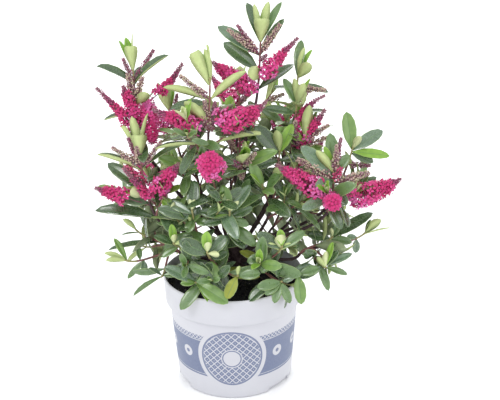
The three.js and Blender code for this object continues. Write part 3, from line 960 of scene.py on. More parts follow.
def floret_shape():
    """A floret along +Z with its mouth at the origin: its points, its faces and the part that
    each face is: 0 the tube and stalk, 1 the lobes, 2 a filament, 3 an anther."""
    points, faces, parts = [], [], []
    for radius, z in ((0.28, -6.0), (0.5, -3.2), (0.95, 0.0)):
        points.extend(ring_of(4, radius, (0, 0, z), math.pi / 4))
    faces += band_of(0, 4) + band_of(4, 4)
    parts += [0] * 8
    for k in range(4):
        middle = k * math.pi / 2 + math.pi / 2
        out = np.array([math.cos(middle), math.sin(middle), 0])
        side = np.array([-math.sin(middle), math.cos(middle), 0])
        start = len(points)
        for reach, half, z in ((2.5, 1.45, 0.8), (4.5, 0.7, 0.3)):
            for edge in (-half, half):
                points.append(out * reach + side * edge + up * z)
        faces.append([8 + k, 8 + (k + 1) % 4, start + 1, start])
        faces.append([start, start + 1, start + 3, start + 2])
        parts += [1, 1]
    for lean in (-1, 1):
        head = np.array([1.3 * lean, 0.4, 3.0])
        faces += band_of(len(points), 3)
        parts += [2] * 3
        points.extend(ring_of(3, 0.14, (0.35 * lean, 0, 0)))
        points.extend(ring_of(3, 0.12, head))
        bead = len(points)
        points += [head - up * 0.3, head + up * 0.9]
        points.extend(ring_of(3, 0.45, head + up * 0.3))
        for k in range(3):
            a, b = bead + 2 + k, bead + 2 + (k + 1) % 3
            faces += [[bead, b, a], [bead + 1, a, b]]
            parts += [3, 3]
    return np.array(points) * mm, faces, np.array(parts)


def bud_shape():
    """A pointed bud along +Z from the origin, one unit long and about half as thick."""
    middle = [ring_of(5, 0.25, (0, 0, 0.2)), ring_of(5, 0.31, (0, 0, 0.56))]
    points = np.concatenate([[(0, 0, 0)], *middle, [(0, 0, 1)]])
    faces = []
    for k in range(5):
        a, b = 1 + k, 1 + (k + 1) % 5
        faces += [[0, b, a], [a, b, b + 5, a + 5], [a + 5, b + 5, 11]]
    return points, faces


floret_points, floret_faces, floret_parts = floret_shape()
# Tubes and stalks take the deep magenta as painted shade in the hollows between the florets. The lobes take
# their own petal colour.
floret_part_kinds = np.array([0, 0, 3, 4])
bud_points, bud_faces = bud_shape()
florets = Heap()
buds = Heap()
stalks = Heap()
bloom_draw = np.random.default_rng(7)


class Spike:
    """A raceme from root to tip: a bare stalk, then open florets with big buds among them up to
    the share `opened` of its length, and smaller buds from there to its tip."""

    def __init__(self, root, tip, radius, opened, bare=0.1, sag=0.0):
        self.root = root
        self.radius = radius
        self.opened = opened
        self.bare = bare
        self.sag = sag
        self.line = tip - root
        self.length = np.linalg.norm(self.line)
        self.axis = self.line / self.length

    def at(self, shares):
        """Places along the spike, which sags in the middle."""
        below = unit(self.line * (self.line @ up) / (self.line @ self.line) - up) * self.sag
        return self.root + self.line * shares[:, None] + below * (4 * shares * (1 - shares))[:, None]

    def curve(self):
        corners = self.at(np.array([0, 1 / 3, 2 / 3, 1]))
        straight = self.root + self.line * np.array([[1 / 3], [2 / 3]])
        corners[1:3] += (corners[1:3] - straight) * 0.5
        return Run(corners)

    def reach(self, shares):
        return self.radius * swell(shares, self.opened, self.radius)

    def core(self, far, angle):
        """The girth of the stalk, thicker where only buds hide it."""
        share = far / self.length
        core = self.reach(share) * np.where(share < self.opened, 0.0, 0.35)
        return np.maximum(core, (0.75 - 0.35 * share) * mm) + 0 * angle

    def floret_shares(self):
        spacing = floret_spacing * (0.75 if self.opened >= full_bloom else 1)
        stoutness = self.radius / raceme_radius
        return np.arange(self.bare, self.opened, spacing / (stoutness * max(1, stoutness)) / self.length)

    def bud_shares(self):
        shares = []
        share = self.bare
        while share < 1 and self.opened < full_bloom:
            shares.append(share)
            if share < self.opened * 0.8:
                share += big_bud_spacing / self.length
            else:
                share += (0.85 - 0.55 * share) * (1.0 if self.opened else 0.62) * mm / self.length
        return np.array(shares)


def set_round(spike, square, shares, rising):
    """What stands round a spike at each share: its way out, how steeply it rises, how far it
    reaches, the frame it is drawn in, and a number by chance."""
    count = len(shares)
    angles = np.arange(count) * golden_turn + bloom_draw.normal(0, 0.25, count)
    outs = square[0] * np.cos(angles)[:, None] + square[1] * np.sin(angles)[:, None]
    rising = rising + bloom_draw.normal(0, 0.15, count)
    headings = outs * np.cos(rising)[:, None] + spike.axis * np.sin(rising)[:, None]
    reach = spike.reach(shares) * bloom_draw.uniform(0.7, 1.14, count)
    turns = np.stack([*frames_along(headings, bloom_draw), headings], 1)
    return outs, rising, reach, turns, bloom_draw.uniform(0, 1, count)


def add_florets(spike, square, shares):
    grown = shares / spike.opened
    rising = -0.15 + 0.95 * grown
    if spike.opened >= full_bloom:
        rising = rising + 0.6 * grown**3
    outs, rising, reach, turns, _ = set_round(spike, square, shares, rising)
    scales = bloom_draw.uniform(0.85, 1.2, len(shares))
    feet = spike.at(shares)
    heads = feet + outs * np.maximum(shortest_stand, reach - floret_depth)[:, None]
    heads = heads + spike.axis * (np.sin(rising) * floret_rise)[:, None]
    shape = (floret_points[None] * scales[:, None, None]) @ turns
    shape[:, :4] += (feet - heads - shape[:, :4].mean(1))[:, None, :]
    petals = graded(grown + bloom_draw.normal(0, 0.16, len(shares)), 0.38, 0.72, (2, 1, 0))
    kinds = np.where(floret_parts == 1, petals[:, None], floret_part_kinds[floret_parts])
    florets.add(shape + heads[:, None, :], floret_faces, kinds)


def add_buds(spike, square, shares, bud_kinds):
    far_on = np.clip((shares - spike.opened) / max(1e-6, 1 - spike.opened), 0, 1)
    outs, rising, reach, turns, chance = set_round(spike, square, shares, 0.75 + 0.4 * far_on)
    if spike.opened:
        sizes = (7.2 - 4.9 * np.clip(far_on * 1.3, 0, 1)) * mm
        reach = reach + np.clip(1 - far_on * 3, 0, 1) * bud_crowding
        far_on = far_on + 0.3 * (chance - 0.5)
        kinds = graded(far_on, 0.2, 0.6, bud_kinds)
        plump = np.clip(0.74 + 0.4 * far_on, 0.7, 1.1)
    else:
        sizes = np.clip(reach * 0.6, *tight_bud_sizes)
        kinds = graded(chance, 0.56, 0.8, bud_kinds)
        plump = np.full(len(shares), 1.45)
    sizes = sizes * bloom_draw.uniform(0.85, 1.15, len(shares))
    feet = spike.at(shares)
    starts = feet + outs * np.maximum(bud_stand, reach - sizes * np.cos(rising))[:, None]
    starts = starts - spike.axis * (0.4 * sizes)[:, None]
    shape = bud_points[None] * np.stack([plump, plump, np.ones(len(shares))], 1)[:, None, :]
    shape = (shape * sizes[:, None, None]) @ turns
    shape[:, 0] = feet - starts
    buds.add(shape + starts[:, None, :], bud_faces, kinds[:, None])


def dress(spike, bud_kinds):
    """Gives a spike its stalk, florets and buds."""
    stalks.add(*rings_round(spike.curve(), spike.core, 5, stalk_ring_gap), 0)
    square = frames_along(spike.axis[None], bloom_draw)
    floret_shares, bud_shares = spike.floret_shares(), spike.bud_shares()
    if len(floret_shares):
        add_florets(spike, square, floret_shares)
    if len(bud_shares):
        add_buds(spike, square, bud_shares, bud_kinds)


raceme_spine = []
for number, mass in enumerate(masses):
    for x, y, z, radius, opened, bare, sag in mass[3]:
        tip = spot((x, y, z))
        spike = Spike(bloom_root(number, tip), tip, radius * mm, opened, bare, sag * mm)
        dress(spike, (0, 1, 2))
        shares = np.linspace(bare + 0.05, 1, 10)
        raceme_spine += np.column_stack([spike.at(shares), spike.reach(shares)]).tolist()
raceme_spine = np.array(raceme_spine)


def petal_finish(name, deep, light):
    finish = Finish(name, gloss=0.3, sheen=0.15)
    finish.colour(finish.blend(finish.grain(330.0, 3.0), deep, light))
    finish.rough(0.5 + finish.grain(200.0) * 0.2)
    return finish


floret_finishes = [
    # deep magenta: the real colour of the top florets' lobes, and painted shade on every floret's tube
    petal_finish("deep_magenta_petal_and_tube_shade", linear(172, 24, 92), linear(218, 58, 128)),
    petal_finish("magenta_petal", linear(196, 42, 116), linear(228, 84, 154)),
    petal_finish("lilac_pink_petal", linear(206, 70, 150), linear(234, 132, 192)),
    petal_finish("filament", linear(206, 110, 158), linear(226, 150, 184)),
    petal_finish("anther", linear(92, 34, 78), linear(128, 60, 104)),
]
flower_stalk = petal_finish("flower_stalk", linear(112, 72, 84), linear(148, 108, 114))

# ---------------------------------------------------------------- the leaves
# Hebe leaves sit in pairs, each pair a quarter turn on from the last. A leaf is a thick glossy
# blade, dark green above with a paler midrib and a fine pale margin, and a matt yellow-green below.
# The youngest pairs close into a pale cup round the tip of the shoot.

leaf_rows = np.array([0, 0.1, 0.3, 0.52, 0.75, 0.92, 1.0])
leaf_across = np.array([-1, -0.93, -0.5, -0.035, 0.035, 0.5, 0.93, 1])
blade_outline = np.array([0.13, 0.36, 0.84, 1.0, 0.9, 0.54, 0.07])
cup_outline = np.array([0.2, 0.4, 0.74, 0.98, 0.86, 0.5, 0.05])
wedge_outline = np.array([0.2, 0.32, 0.56, 0.82, 1.0, 0.97, 0.62])
leaf_gauge = 0.32 * mm
gauge_across = np.array([0.0, 0.7, 1.6, 0.3, 0.3, 1.6, 0.7, 0.0]) * leaf_gauge
mark_shares = np.array([0.35, 0.62, 0.95])
thin_blade = 4 * mm
lowest_leaf = 7 * mm
leaf_air = 2.5 * mm
over_rim = 2 * mm
over_compost = 3 * mm
bloom_light = 60 * mm
rim_inside = 79 * mm
old_leaf_height = 46 * mm


def leaf_pattern():
    """The faces of a leaf and the part each is: 0 margin, 1 blade, 2 midrib, 3 underside."""
    faces, parts = [], []
    stride = len(leaf_across) + 1
    for row in range(len(leaf_rows) - 1):
        here, there = row * stride, (row + 1) * stride
        for k, part in enumerate((0, 1, 1, 2, 1, 1, 0)):
            faces.append([here + k, there + k, there + k + 1, here + k + 1])
            parts.append(part)
        for left, right in ((0, 8), (8, 7)):
            faces.append([here + left, here + right, there + right, there + left])
            parts.append(3)
    last = (len(leaf_rows) - 1) * stride
    faces.append([0, 1, 2, 3, 4, 5, 6, 7, 8])
    faces.append([last + k for k in (8, 7, 6, 5, 4, 3, 2, 1, 0)])
    parts += [3, 3]
    return faces, np.array(parts)


leaf_faces, leaf_parts = leaf_pattern()


def leaf_shapes(rows):
    """Leaves as copies x corners x 3, from rows that start with root, heading, face, length,
    width, fold, bend and outline."""
    root, heading, face = (np.array([row[k] for row in rows])[:, None, None, :] for k in range(3))
    length, width, fold, bend = (np.array([row[k] for row in rows])[:, None, None] for k in (3, 4, 5, 6))
    outline = np.array([row[7] for row in rows])[:, :, None]
    across = np.cross(face, heading)
    along = leaf_rows[None, :, None]
    turn = bend * along
    safe = np.where(np.abs(bend) < 1e-4, 1e-4, bend)
    ahead = (length * np.sin(safe * along) / safe)[..., None]
    down = (length * (1 - np.cos(safe * along)) / safe)[..., None]
    middle = root + heading * ahead - face * down
    raised = face * np.cos(turn)[..., None] + heading * np.sin(turn)[..., None]
    half = width / 2 * outline
    reach = leaf_across[None, None, :]
    lift = fold * (1.4 - 0.4 * np.abs(reach)) * np.abs(reach) * half
    lift = lift + gauge_across[None, None, :] * np.minimum(1, half / thin_blade)
    top = middle + across * (reach * half)[..., None] + raised * lift[..., None]
    keel = middle - raised * (leaf_gauge * 1.5 * (1 - 0.6 * along) * np.ones_like(half))[..., None]
    points = np.concatenate([top, keel], 2)
    return points.reshape(len(rows), -1, 3)


class Room:
    """The places that leaves take, so that no two sit in each other."""

    def __init__(self, pitch):
        self.pitch = pitch
        self.cells = {}

    def key(self, point):
        return tuple(int(math.floor(v / self.pitch)) for v in point)

    def take(self, points, owner):
        for point in points:
            self.cells.setdefault(self.key(point), []).append((point, owner))

    def free(self, points, owner):
        for point in points:
            i, j, k = self.key(point)
            for a in (i - 1, i, i + 1):
                for b in (j - 1, j, j + 1):
                    for c in (k - 1, k, k + 1):
                        for other, theirs in self.cells.get((a, b, c), ()):
                            if theirs != owner and np.sum((other - point) ** 2) < self.pitch**2:
                                return False
        return True


outlook = np.array([0.0, 0.93, -0.37])  # the way that the front of the plant is looked at
room = Room(4.2 * mm)
box_low = np.array(solids_low) - 7 * mm
box_high = np.array(solids_high) + 5 * mm


def clear_of_pot(points):
    for x, y, z in points:
        reach = math.hypot(x, y)
        if z > pot_height + over_rim:
            continue
        outer = rim_radius if z > shoulder else wall_top
        if reach > outer + leaf_air:
            continue
        if reach < rim_inside and z > compost_level + over_compost:
            continue
        return False
    return True


def clear_of_blooms(points):
    """Racemes push through to the light: no leaf stands in one, nor close in front of one."""
    for point in points:
        apart = raceme_spine[:, :3] - point
        ahead = apart @ outlook
        beside = np.linalg.norm(apart - ahead[:, None] * outlook, axis=1)
        apart = np.where((ahead > 0) & (ahead < bloom_light), beside, np.linalg.norm(apart, axis=1))
        if np.any(apart < raceme_spine[:, 3] * 0.8):
            return False
    return True


# Pairs of leaves from the tip down: how far below the tip a pair sits, how wide it opens in
# degrees, its length and width, its fold and bend, its outline, and its tints above and below.
crown_pairs = [
    (3, 11, 32, 11, 0.4, 0.1, cup_outline, "bright", "lime"),
    (8, 22, 37, 17, 0.35, -0.05, cup_outline, "bright", "lime"),
    (20, 50, 43, 14, 0.3, 0.3, blade_outline, "fresh", "lime"),
    (40, 62, 46, 15, 0.22, 0.35, blade_outline, "dark", "lime"),
    (62, 72, 47, 15, 0.18, 0.4, blade_outline, "dark", "dull"),
    (84, 80, 46, 15, 0.15, 0.45, blade_outline, "dark", "dull"),
    (104, 86, 44, 14, 0.15, 0.5, blade_outline, "dark", "dull"),
    (124, 90, 42, 14, 0.15, 0.5, blade_outline, "dark", "dull"),
]
rosette_pairs = [
    (0.5, 8, 14, 7, 0.4, 0.0, cup_outline, "pale", "pale_lime"),
    (2.5, 26, 23, 10, 0.3, 0.2, blade_outline, "bright", "pale_lime"),
    (8, 46, 33, 13, 0.2, 0.3, blade_outline, "fresh", "lime"),
    (15, 60, 39, 14.5, 0.16, 0.35, blade_outline, "mid", "lime"),
    (25, 70, 42, 15.5, 0.14, 0.4, blade_outline, "dark", "dull"),
    (37, 78, 44, 15.5, 0.12, 0.45, blade_outline, "dark", "dull"),
    (51, 84, 43, 15, 0.12, 0.45, blade_outline, "dark", "dull"),
    (66, 88, 42, 14, 0.12, 0.5, blade_outline, "dark", "dull"),
    (82, 92, 40, 14, 0.12, 0.5, blade_outline, "dark", "dull"),
]
twig_pairs = [
    (0.5, 10, 11, 5, 0.4, 0.0, cup_outline, "fresh", "lime"),
    (3, 34, 21, 8, 0.25, 0.2, blade_outline, "mid", "lime"),
    (9, 54, 28, 10.5, 0.18, 0.3, blade_outline, "dark", "dull"),
    (18, 68, 32, 12, 0.14, 0.4, blade_outline, "dark", "dull"),
]
pair_tables = {"crown": crown_pairs, "rosette": rosette_pairs, "twig": twig_pairs}
# The bluish tint is painted sheen: its paler grey-green stands for the sky's reflection on a glossy blade.
tint_numbers = {"dark": 0, "mid": 1, "fresh": 2, "bright": 3, "pale": 4, "yellowed": 5, "bluish": 6}
under_numbers = {"dull": 7, "lime": 8, "pale_lime": 9}
midrib_number = 10
margin_number = 11
leaf_draw = stream(500)
leaves = {kind: [] for kind in pair_tables}
bud_axils = []
tries = ((0.0, 1.0), (-0.35, 1.0), (0.3, 1.0), (0.0, 0.75), (-0.4, 0.7), (0.35, 0.7))

# The leading shoots hold their youngest leaves as seen from the front: how far below the tip a
# leaf sits, the way it points there (degrees from straight up, clockwise), how far it leans to the
# viewer, its length and width, its roll (0 shows the upper face, 90 the edge, 180 the underside),
# its fold, which goes with its outline, its bend, and its tints above and below.
# A bluish tint in these rows is painted sheen, the sky's reflection on the glossy blade.
posed_leaves = {
    ("crown_top", 0): [
        (11, 4, 40, 29, 18, 180, 0.5, -0.2, "bright", "lime"),
        (11, -14, 0, 48, 17, 35, 0.3, 0.2, "dark", "lime"),
        (9, -8, 18, 42, 9, 150, 0.3, 0.1, "bright", "lime"),
        (9, 12, 10, 44, 12, 160, 0.3, 0.1, "bright", "lime"),
        (11, 27, 0, 52, 13, 40, 0.3, 0.1, "mid", "lime"),
        (26, -51, 8, 58, 18, 22, 0.2, 0.3, "bluish", "lime"),
        (26, 31, 3, 50, 14, 40, 0.25, 0.2, "dark", "lime"),
        (44, -47, -4, 54, 18, 12, 0.2, 0.3, "dark", "dull"),
        (38, -145, 42, 27, 16, 165, 0.2, 0.1, "yellowed", "lime"),
        (66, 50, -4, 52, 17, 40, 0.2, 0.3, "dark", "dull"),
    ],
    ("crown_left", 0): [
        (3, -2, 36, 30, 15, 180, 0.5, -0.2, "bright", "lime"),
        (2, -21, 5, 37, 11, 60, 0.3, 0.1, "bright", "lime"),
        (1, -10, -5, 38, 11, 30, 0.3, 0.1, "bright", "lime"),
        (1, 1, 0, 41, 7, 100, 0.3, 0.0, "fresh", "lime"),
        (17, -60, 8, 46, 15, 50, 0.7, 0.2, "dark", "lime"),
        (16, 49, 8, 50, 15, 60, 0.7, 0.2, "dark", "lime"),
        (20, 12, -20, 26, 12, 30, 0.2, 0.2, "dark", "dull"),
        (42, 50, 40, 27, 14, 150, 0.2, 0.2, "yellowed", "lime"),
        (52, -96, 0, 38, 12, 66, 0.6, 0.2, "dark", "lime"),
    ],
    ("crown_centre", 0): [
        (9, -25, 18, 40, 15, 174, 0.5, -0.2, "bright", "lime"),
        (9, -5, 0, 40, 12, 140, 0.3, 0.1, "bright", "lime"),
        (8, -1, 0, 43, 9, 100, 0.5, 0.1, "mid", "lime"),
        (8, -16, -8, 42, 11, 30, 0.3, 0.1, "bright", "lime"),
        (26, -66, 5, 53, 13, 130, 0.4, 0.35, "mid", "lime"),
        (26, 48, 5, 51, 13, 135, 0.4, 0.25, "mid", "lime"),
        (30, -84, -15, 52, 14, 30, 0.2, 0.6, "dark", "dull"),
        (54, -42, 25, 40, 15, 150, 0.2, 0.2, "yellowed", "lime"),
        (79, -83, 0, 60, 14, 78, 0.7, 0.35, "dark", "lime"),
        (79, 72, 0, 60, 12, 112, 0.5, 0.3, "dark", "lime"),
    ],
    ("crown_right", 0): [
        (2, 5, 0, 43, 14, 20, 0.3, 0.2, "mid", "lime"),
        (1, 25, 0, 35, 13, 60, 0.3, 0.2, "bright", "lime"),
        (1, 12, 8, 33, 10, 140, 0.3, 0.1, "bright", "lime"),
        (3, 40, 42, 27, 15, 170, 0.3, 0.1, "bright", "lime"),
        (12, 98, 0, 37, 12, 40, 0.3, 0.3, "dark", "dull"),
        (16, -80, 0, 34, 11, 60, 0.2, 0.3, "dark", "dull"),
    ],
    ("crown_right", 1): [
        (2, -22, 5, 34, 13, 25, 0.3, 0.2, "mid", "lime"),
        (1, -3, 12, 30, 10, 150, 0.3, 0.1, "bright", "lime"),
        (1, 27, 0, 34, 10, 60, 0.3, 0.1, "bright", "lime"),
        (2, 18, 32, 30, 12, 170, 0.3, 0.1, "bright", "lime"),
        (12, -75, 10, 36, 12, 30, 0.2, 0.3, "dark", "dull"),
        (12, 80, 10, 36, 12, 60, 0.2, 0.3, "dark", "dull"),
    ],
    ("crown_right", 2): [
        (2, 6, 22, 41, 14, 165, 0.3, 0.1, "bright", "lime"),
        (1, -12, 0, 40, 11, 30, 0.3, 0.1, "bright", "lime"),
        (1, 22, 0, 35, 10, 60, 0.3, 0.1, "fresh", "lime"),
        (7, 55, 0, 41, 13, 75, 0.2, 0.3, "dark", "dull"),
        (6, -58, 12, 30, 13, 12, 0.2, 0.2, "bright", "lime"),
    ],
    ("middle_right", 0): [
        (3, -40, 10, 42, 19, 10, 0.2, 0.2, "dark", "dull"),
        (1, -8, 28, 27, 12, 170, 0.3, 0.1, "bright", "lime"),
        (3, 24, 5, 36, 14, 15, 0.25, 0.2, "bright", "lime"),
        (12, 80, 15, 34, 12, 30, 0.2, 0.3, "dark", "dull"),
        (12, -100, 15, 36, 13, 30, 0.2, 0.3, "dark", "dull"),
    ],
    ("right_flowering", 0): [
        (3, -2, 0, 47, 17, 12, 0.25, 0.2, "mid", "lime"),
        (5, -45, 10, 50, 18, 15, 0.2, 0.2, "bluish", "lime"),
        (1, -36, 22, 35, 12, 150, 0.3, 0.1, "bright", "lime"),
        (1, -18, 12, 32, 11, 30, 0.3, 0.1, "bright", "lime"),
        (2, 38, 12, 27, 13, 20, 0.2, 0.2, "mid", "lime"),
        (11, -106, 50, 34, 15, 10, 0.15, 0.1, "bluish", "dull"),
        (14, 72, 0, 42, 14, 60, 0.2, 0.3, "dark", "lime"),
        (9, -62, -8, 42, 15, 40, 0.2, 0.3, "dark", "dull"),
    ],
    ("far_right", 0): [
        (5, -6, 0, 45, 18, 10, 0.25, 0.1, "fresh", "lime"),
        (5, 57, 0, 43, 17, 20, 0.25, 0.2, "bluish", "lime"),
        (3, 30, 32, 19, 10, 170, 0.3, 0.1, "pale", "pale_lime"),
        (7, 96, 5, 45, 13, 20, 0.2, 0.2, "bright", "lime"),
        (9, 112, 10, 28, 12, 20, 0.2, 0.2, "dark", "dull"),
    ],
    ("left_flowering", 0): [
        (2, 3, 38, 27, 18, 178, 0.5, -0.2, "bright", "lime"),
        (2, -8, 5, 46, 13, 165, 0.3, 0.1, "bright", "lime"),
        (3, -27, 0, 40, 12, 120, 0.5, 0.1, "mid", "lime"),
        (2, 10, 0, 50, 9, 120, 0.4, 0.1, "bright", "lime"),
        (20, -63, 0, 54, 17, 78, 0.75, 0.2, "dark", "lime"),
        (46, -51, -5, 57, 17, 15, 0.2, 0.3, "dark", "dull"),
        (17, 54, 0, 52, 15, 60, 0.5, 0.3, "mid", "lime"),
        (50, -75, 40, 24, 15, 172, 0.2, 0.1, "pale", "pale_lime"),
        (46, -88, 10, 26, 12, 20, 0.2, 0.1, "bright", "lime"),
        (84, -78, 0, 73, 19, 44, 0.6, 0.2, "dark", "lime"),
        (62, -80, 10, 30, 13, 30, 0.2, 0.2, "bluish", "dull"),
    ],
    ("left_low", 0): [
        (2, -44, 10, 20, 10, 140, 0.3, 0.2, "fresh", "lime"),
        (6, -92, 5, 20, 6, 70, 0.4, 0.2, "dark", "lime"),
        (34, -95, 0, 61, 13, 62, 0.6, 0.1, "dark", "lime"),
        (14, 48, 5, 29, 13, 150, 0.2, 0.2, "mid", "dull"),
    ],
    ("left_low", 1): [
        (2, -66, 0, 27, 10, 140, 0.4, 0.2, "fresh", "lime"),
        (2, -82, 12, 24, 10, 140, 0.3, 0.2, "fresh", "lime"),
        (2, -26, 0, 30, 9, 30, 0.3, 0.2, "fresh", "lime"),
        (24, -134, 5, 30, 8, 20, 0.2, 0.2, "mid", "dull"),
        (22, 176, 10, 15, 9, 20, 0.2, 0.2, "bluish", "dull"),
        (18, -6, 0, 17, 8, 30, 0.2, 0.2, "mid", "lime"),
    ],
    ("left_low", 2): [
        (1, -118, 0, 40, 12, 60, 0.4, 0.2, "mid", "lime"),
        (3, -50, 10, 18, 8, 60, 0.2, 0.3, "bluish", "dull"),
        (4, 84, 10, 18, 8, 30, 0.2, 0.3, "mid", "dull"),
    ],
    ("right_low", 0): [
        (2, 28, 5, 18, 10, 20, 0.2, 0.1, "mid", "lime"),
        (1, -8, 20, 11, 6, 160, 0.3, 0.0, "pale", "pale_lime"),
        (4, -76, 5, 28, 13, 20, 0.2, 0.2, "dark", "dull"),
        (4, 98, 8, 25, 11, 20, 0.2, 0.2, "mid", "lime"),
        (3, 58, -5, 59, 15, 30, 0.2, 0.2, "dark", "lime"),
        (6, 170, 10, 20, 10, 15, 0.2, 0.2, "dark", "dull"),
    ],
    ("right_low", 1): [
        (2, 49, 8, 25, 14, 150, 0.3, 0.1, "mid", "lime"),
        (1, 22, 10, 17, 7, 60, 0.3, 0.1, "dark", "lime"),
        (3, 75, 5, 32, 9, 100, 0.3, 0.1, "mid", "lime"),
        (12, -80, 10, 13, 7, 20, 0.2, 0.1, "bluish", "dull"),
        (14, 184, 12, 17, 10, 15, 0.2, 0.2, "bluish", "dull"),
    ],
    ("right_low", 2): [
        (2, 107, 5, 27, 9, 30, 0.3, 0.2, "mid", "lime"),
        (14, 160, 8, 35, 11, 20, 0.2, 0.2, "mid", "lime"),
        (6, 67, 5, 37, 10, 20, 0.2, 0.2, "bluish", "dull"),
        (3, 24, 8, 32, 10, 35, 0.3, -0.3, "bright", "lime"),
        (4, 46, 5, 26, 9, 30, 0.2, -0.2, "dark", "dull"),
        (1, 2, 20, 20, 9, 165, 0.3, 0.0, "pale", "pale_lime"),
        (1, -38, 20, 17, 8, 165, 0.3, 0.0, "pale", "lime"),
        (6, -114, 12, 30, 12, 20, 0.2, 0.2, "bluish", "dull"),
    ],
    ("front_left", 0): [
        (1, -10, 20, 13, 7, 150, 0.3, 0.0, "fresh", "pale_lime"),
        (1, 14, 20, 13, 7, 150, 0.3, 0.0, "fresh", "pale_lime"),
        (3, 4, -5, 36, 16, 10, 0.2, 0.2, "dark", "dull"),
        (12, -72, 5, 42, 15, 12, 0.2, 0.2, "dark", "lime"),
        (6, -60, -10, 34, 12, 20, 0.2, 0.2, "bluish", "dull"),
        (14, -150, 20, 17, 12, 20, 0.2, 0.2, "mid", "dull"),
        (16, 100, 20, 17, 11, 20, 0.2, 0.2, "mid", "dull"),
    ],
    ("front_left", 1): [
        (2, -6, 15, 23, 10, 15, 0.25, 0.1, "bright", "lime"),
        (1, 8, 38, 13, 8, 165, 0.3, 0.0, "pale", "pale_lime"),
        (2, 82, 30, 13, 7, 160, 0.3, 0.1, "pale", "lime"),
        (4, -62, 5, 26, 12, 40, 0.2, 0.2, "dark", "lime"),
        (6, 64, 5, 22, 11, 20, 0.2, 0.2, "dark", "dull"),
        (10, -118, 10, 22, 9, 30, 0.2, 0.2, "mid", "dull"),
    ],
    ("front_centre", 0): [
        (3, -12, 5, 31, 14, 12, 0.25, 0.2, "fresh", "lime"),
        (1, -8, 38, 16, 10, 165, 0.3, 0.0, "pale", "pale_lime"),
        (2, 38, 25, 17, 7, 150, 0.3, 0.1, "pale", "pale_lime"),
        (4, 36, 0, 39, 14, 20, 0.2, 0.2, "bluish", "lime"),
        (12, 66, 10, 28, 13, 20, 0.2, 0.2, "dark", "dull"),
        (14, 110, 12, 23, 11, 20, 0.2, 0.2, "mid", "lime"),
        (8, -80, 5, 34, 13, 15, 0.2, 0.2, "dark", "dull"),
        (6, -98, 20, 18, 6, 60, 0.3, 0.1, "fresh", "lime"),
        (14, -100, 10, 30, 11, 20, 0.2, 0.2, "dark", "dull"),
        (26, 130, 20, 40, 15, 15, 0.2, 0.2, "mid", "lime"),
        (26, 148, 20, 25, 12, 15, 0.2, 0.2, "dark", "lime"),
    ],
    ("front_low", 1): [
        (5, -61, 5, 42, 15, 25, 0.2, 0.2, "bluish", "dull"),
        (24, 57, 0, 38, 9, 40, 0.2, 0.2, "bluish", "dull"),
        (3, -88, 15, 18, 9, 30, 0.2, 0.2, "fresh", "lime"),
        (2, 122, 18, 44, 18, 15, 0.2, 0.2, "fresh", "lime"),
        (2, 145, 20, 26, 9, 60, 0.3, 0.2, "bright", "lime"),
    ],
    ("front_low", 2): [
        (3, -152, 10, 28, 14, 15, 0.2, 0.2, "yellowed", "lime"),
        (2, 82, 15, 26, 13, 20, 0.2, 0.2, "mid", "lime"),
        (1, 10, 25, 12, 7, 150, 0.3, 0.0, "fresh", "lime"),
    ],
    ("front_low", 0): [
        (2, 0, 20, 25, 13, 15, 0.25, 0.1, "bright", "lime"),
        (1, 8, 42, 15, 9, 170, 0.3, 0.0, "pale", "pale_lime"),
        (3, 96, 35, 16, 8, 165, 0.3, 0.0, "pale", "pale_lime"),
        (5, -62, 10, 35, 19, 10, 0.2, 0.2, "dark", "lime"),
        (5, 46, 10, 29, 16, 15, 0.2, 0.2, "dark", "lime"),
        (20, 66, 8, 20, 11, 20, 0.2, 0.2, "dark", "dull"),
        (24, 172, 28, 25, 14, 12, 0.2, 0.2, "fresh", "lime"),
    ],
    ("front_right", 0): [
        (2, -5, 15, 20, 11, 15, 0.25, 0.1, "bright", "lime"),
        (6, 0, 38, 20, 14, 170, 0.3, 0.0, "pale", "pale_lime"),
        (10, -52, 25, 17, 7, 150, 0.3, 0.1, "pale", "lime"),
        (10, 54, 25, 16, 7, 150, 0.3, 0.1, "pale", "lime"),
        (5, -55, 5, 32, 15, 15, 0.2, 0.2, "dark", "lime"),
        (5, 53, 5, 33, 13, 25, 0.2, 0.2, "mid", "lime"),
        (30, -98, 10, 30, 15, 15, 0.2, 0.2, "mid", "lime"),
        (36, -146, 15, 20, 11, 15, 0.2, 0.2, "mid", "lime"),
        (54, -62, 10, 31, 11, 30, 0.2, 0.2, "yellowed", "lime"),
    ],
    ("front_right", 1): [
        (2, -100, 10, 28, 13, 15, 0.2, 0.2, "mid", "lime"),
        (3, -125, 15, 23, 11, 20, 0.2, 0.2, "mid", "lime"),
        (4, -160, 18, 25, 11, 15, 0.2, 0.2, "mid", "lime"),
        (4, 156, 15, 26, 11, 15, 0.2, 0.2, "mid", "lime"),
        (1, 70, 20, 11, 6, 30, 0.2, 0.2, "bluish", "dull"),
        (22, -128, 12, 38, 15, 30, 0.2, 0.2, "dark", "lime"),
    ],
    ("front_right", 2): [
        (2, 72, 5, 24, 12, 20, 0.2, 0.2, "mid", "lime"),
        (3, 174, 15, 34, 15, 12, 0.2, 0.2, "fresh", "lime"),
        (14, 68, 0, 28, 11, 30, 0.2, 0.2, "bluish", "dull"),
    ],
}
posed_down_to = {label: rows[-1][0] + 9 for label, rows in posed_leaves.items()}
abeam = np.array([1.0, 0.0, 0.0])
aloft = np.cross(abeam, outlook)


def clockwise(degrees):
    """The direction square to the outlook at so many degrees, clockwise, from straight up."""
    turn = math.radians(degrees)
    return aloft * math.cos(turn) + abeam * math.sin(turn)


def pointing(clock, lean):
    """The direction at so many degrees clockwise that leans so many degrees to the viewer."""
    lean = math.radians(lean)
    return clockwise(clock) * math.cos(lean) - outlook * math.sin(lean)


def outline_of(below, fold):
    """A closed tip leaf is a wedge, other folded leaves near the tip are cups."""
    if fold == 0.5:
        return wedge_outline
    return cup_outline if below < 12 and fold > 0.28 else blade_outline


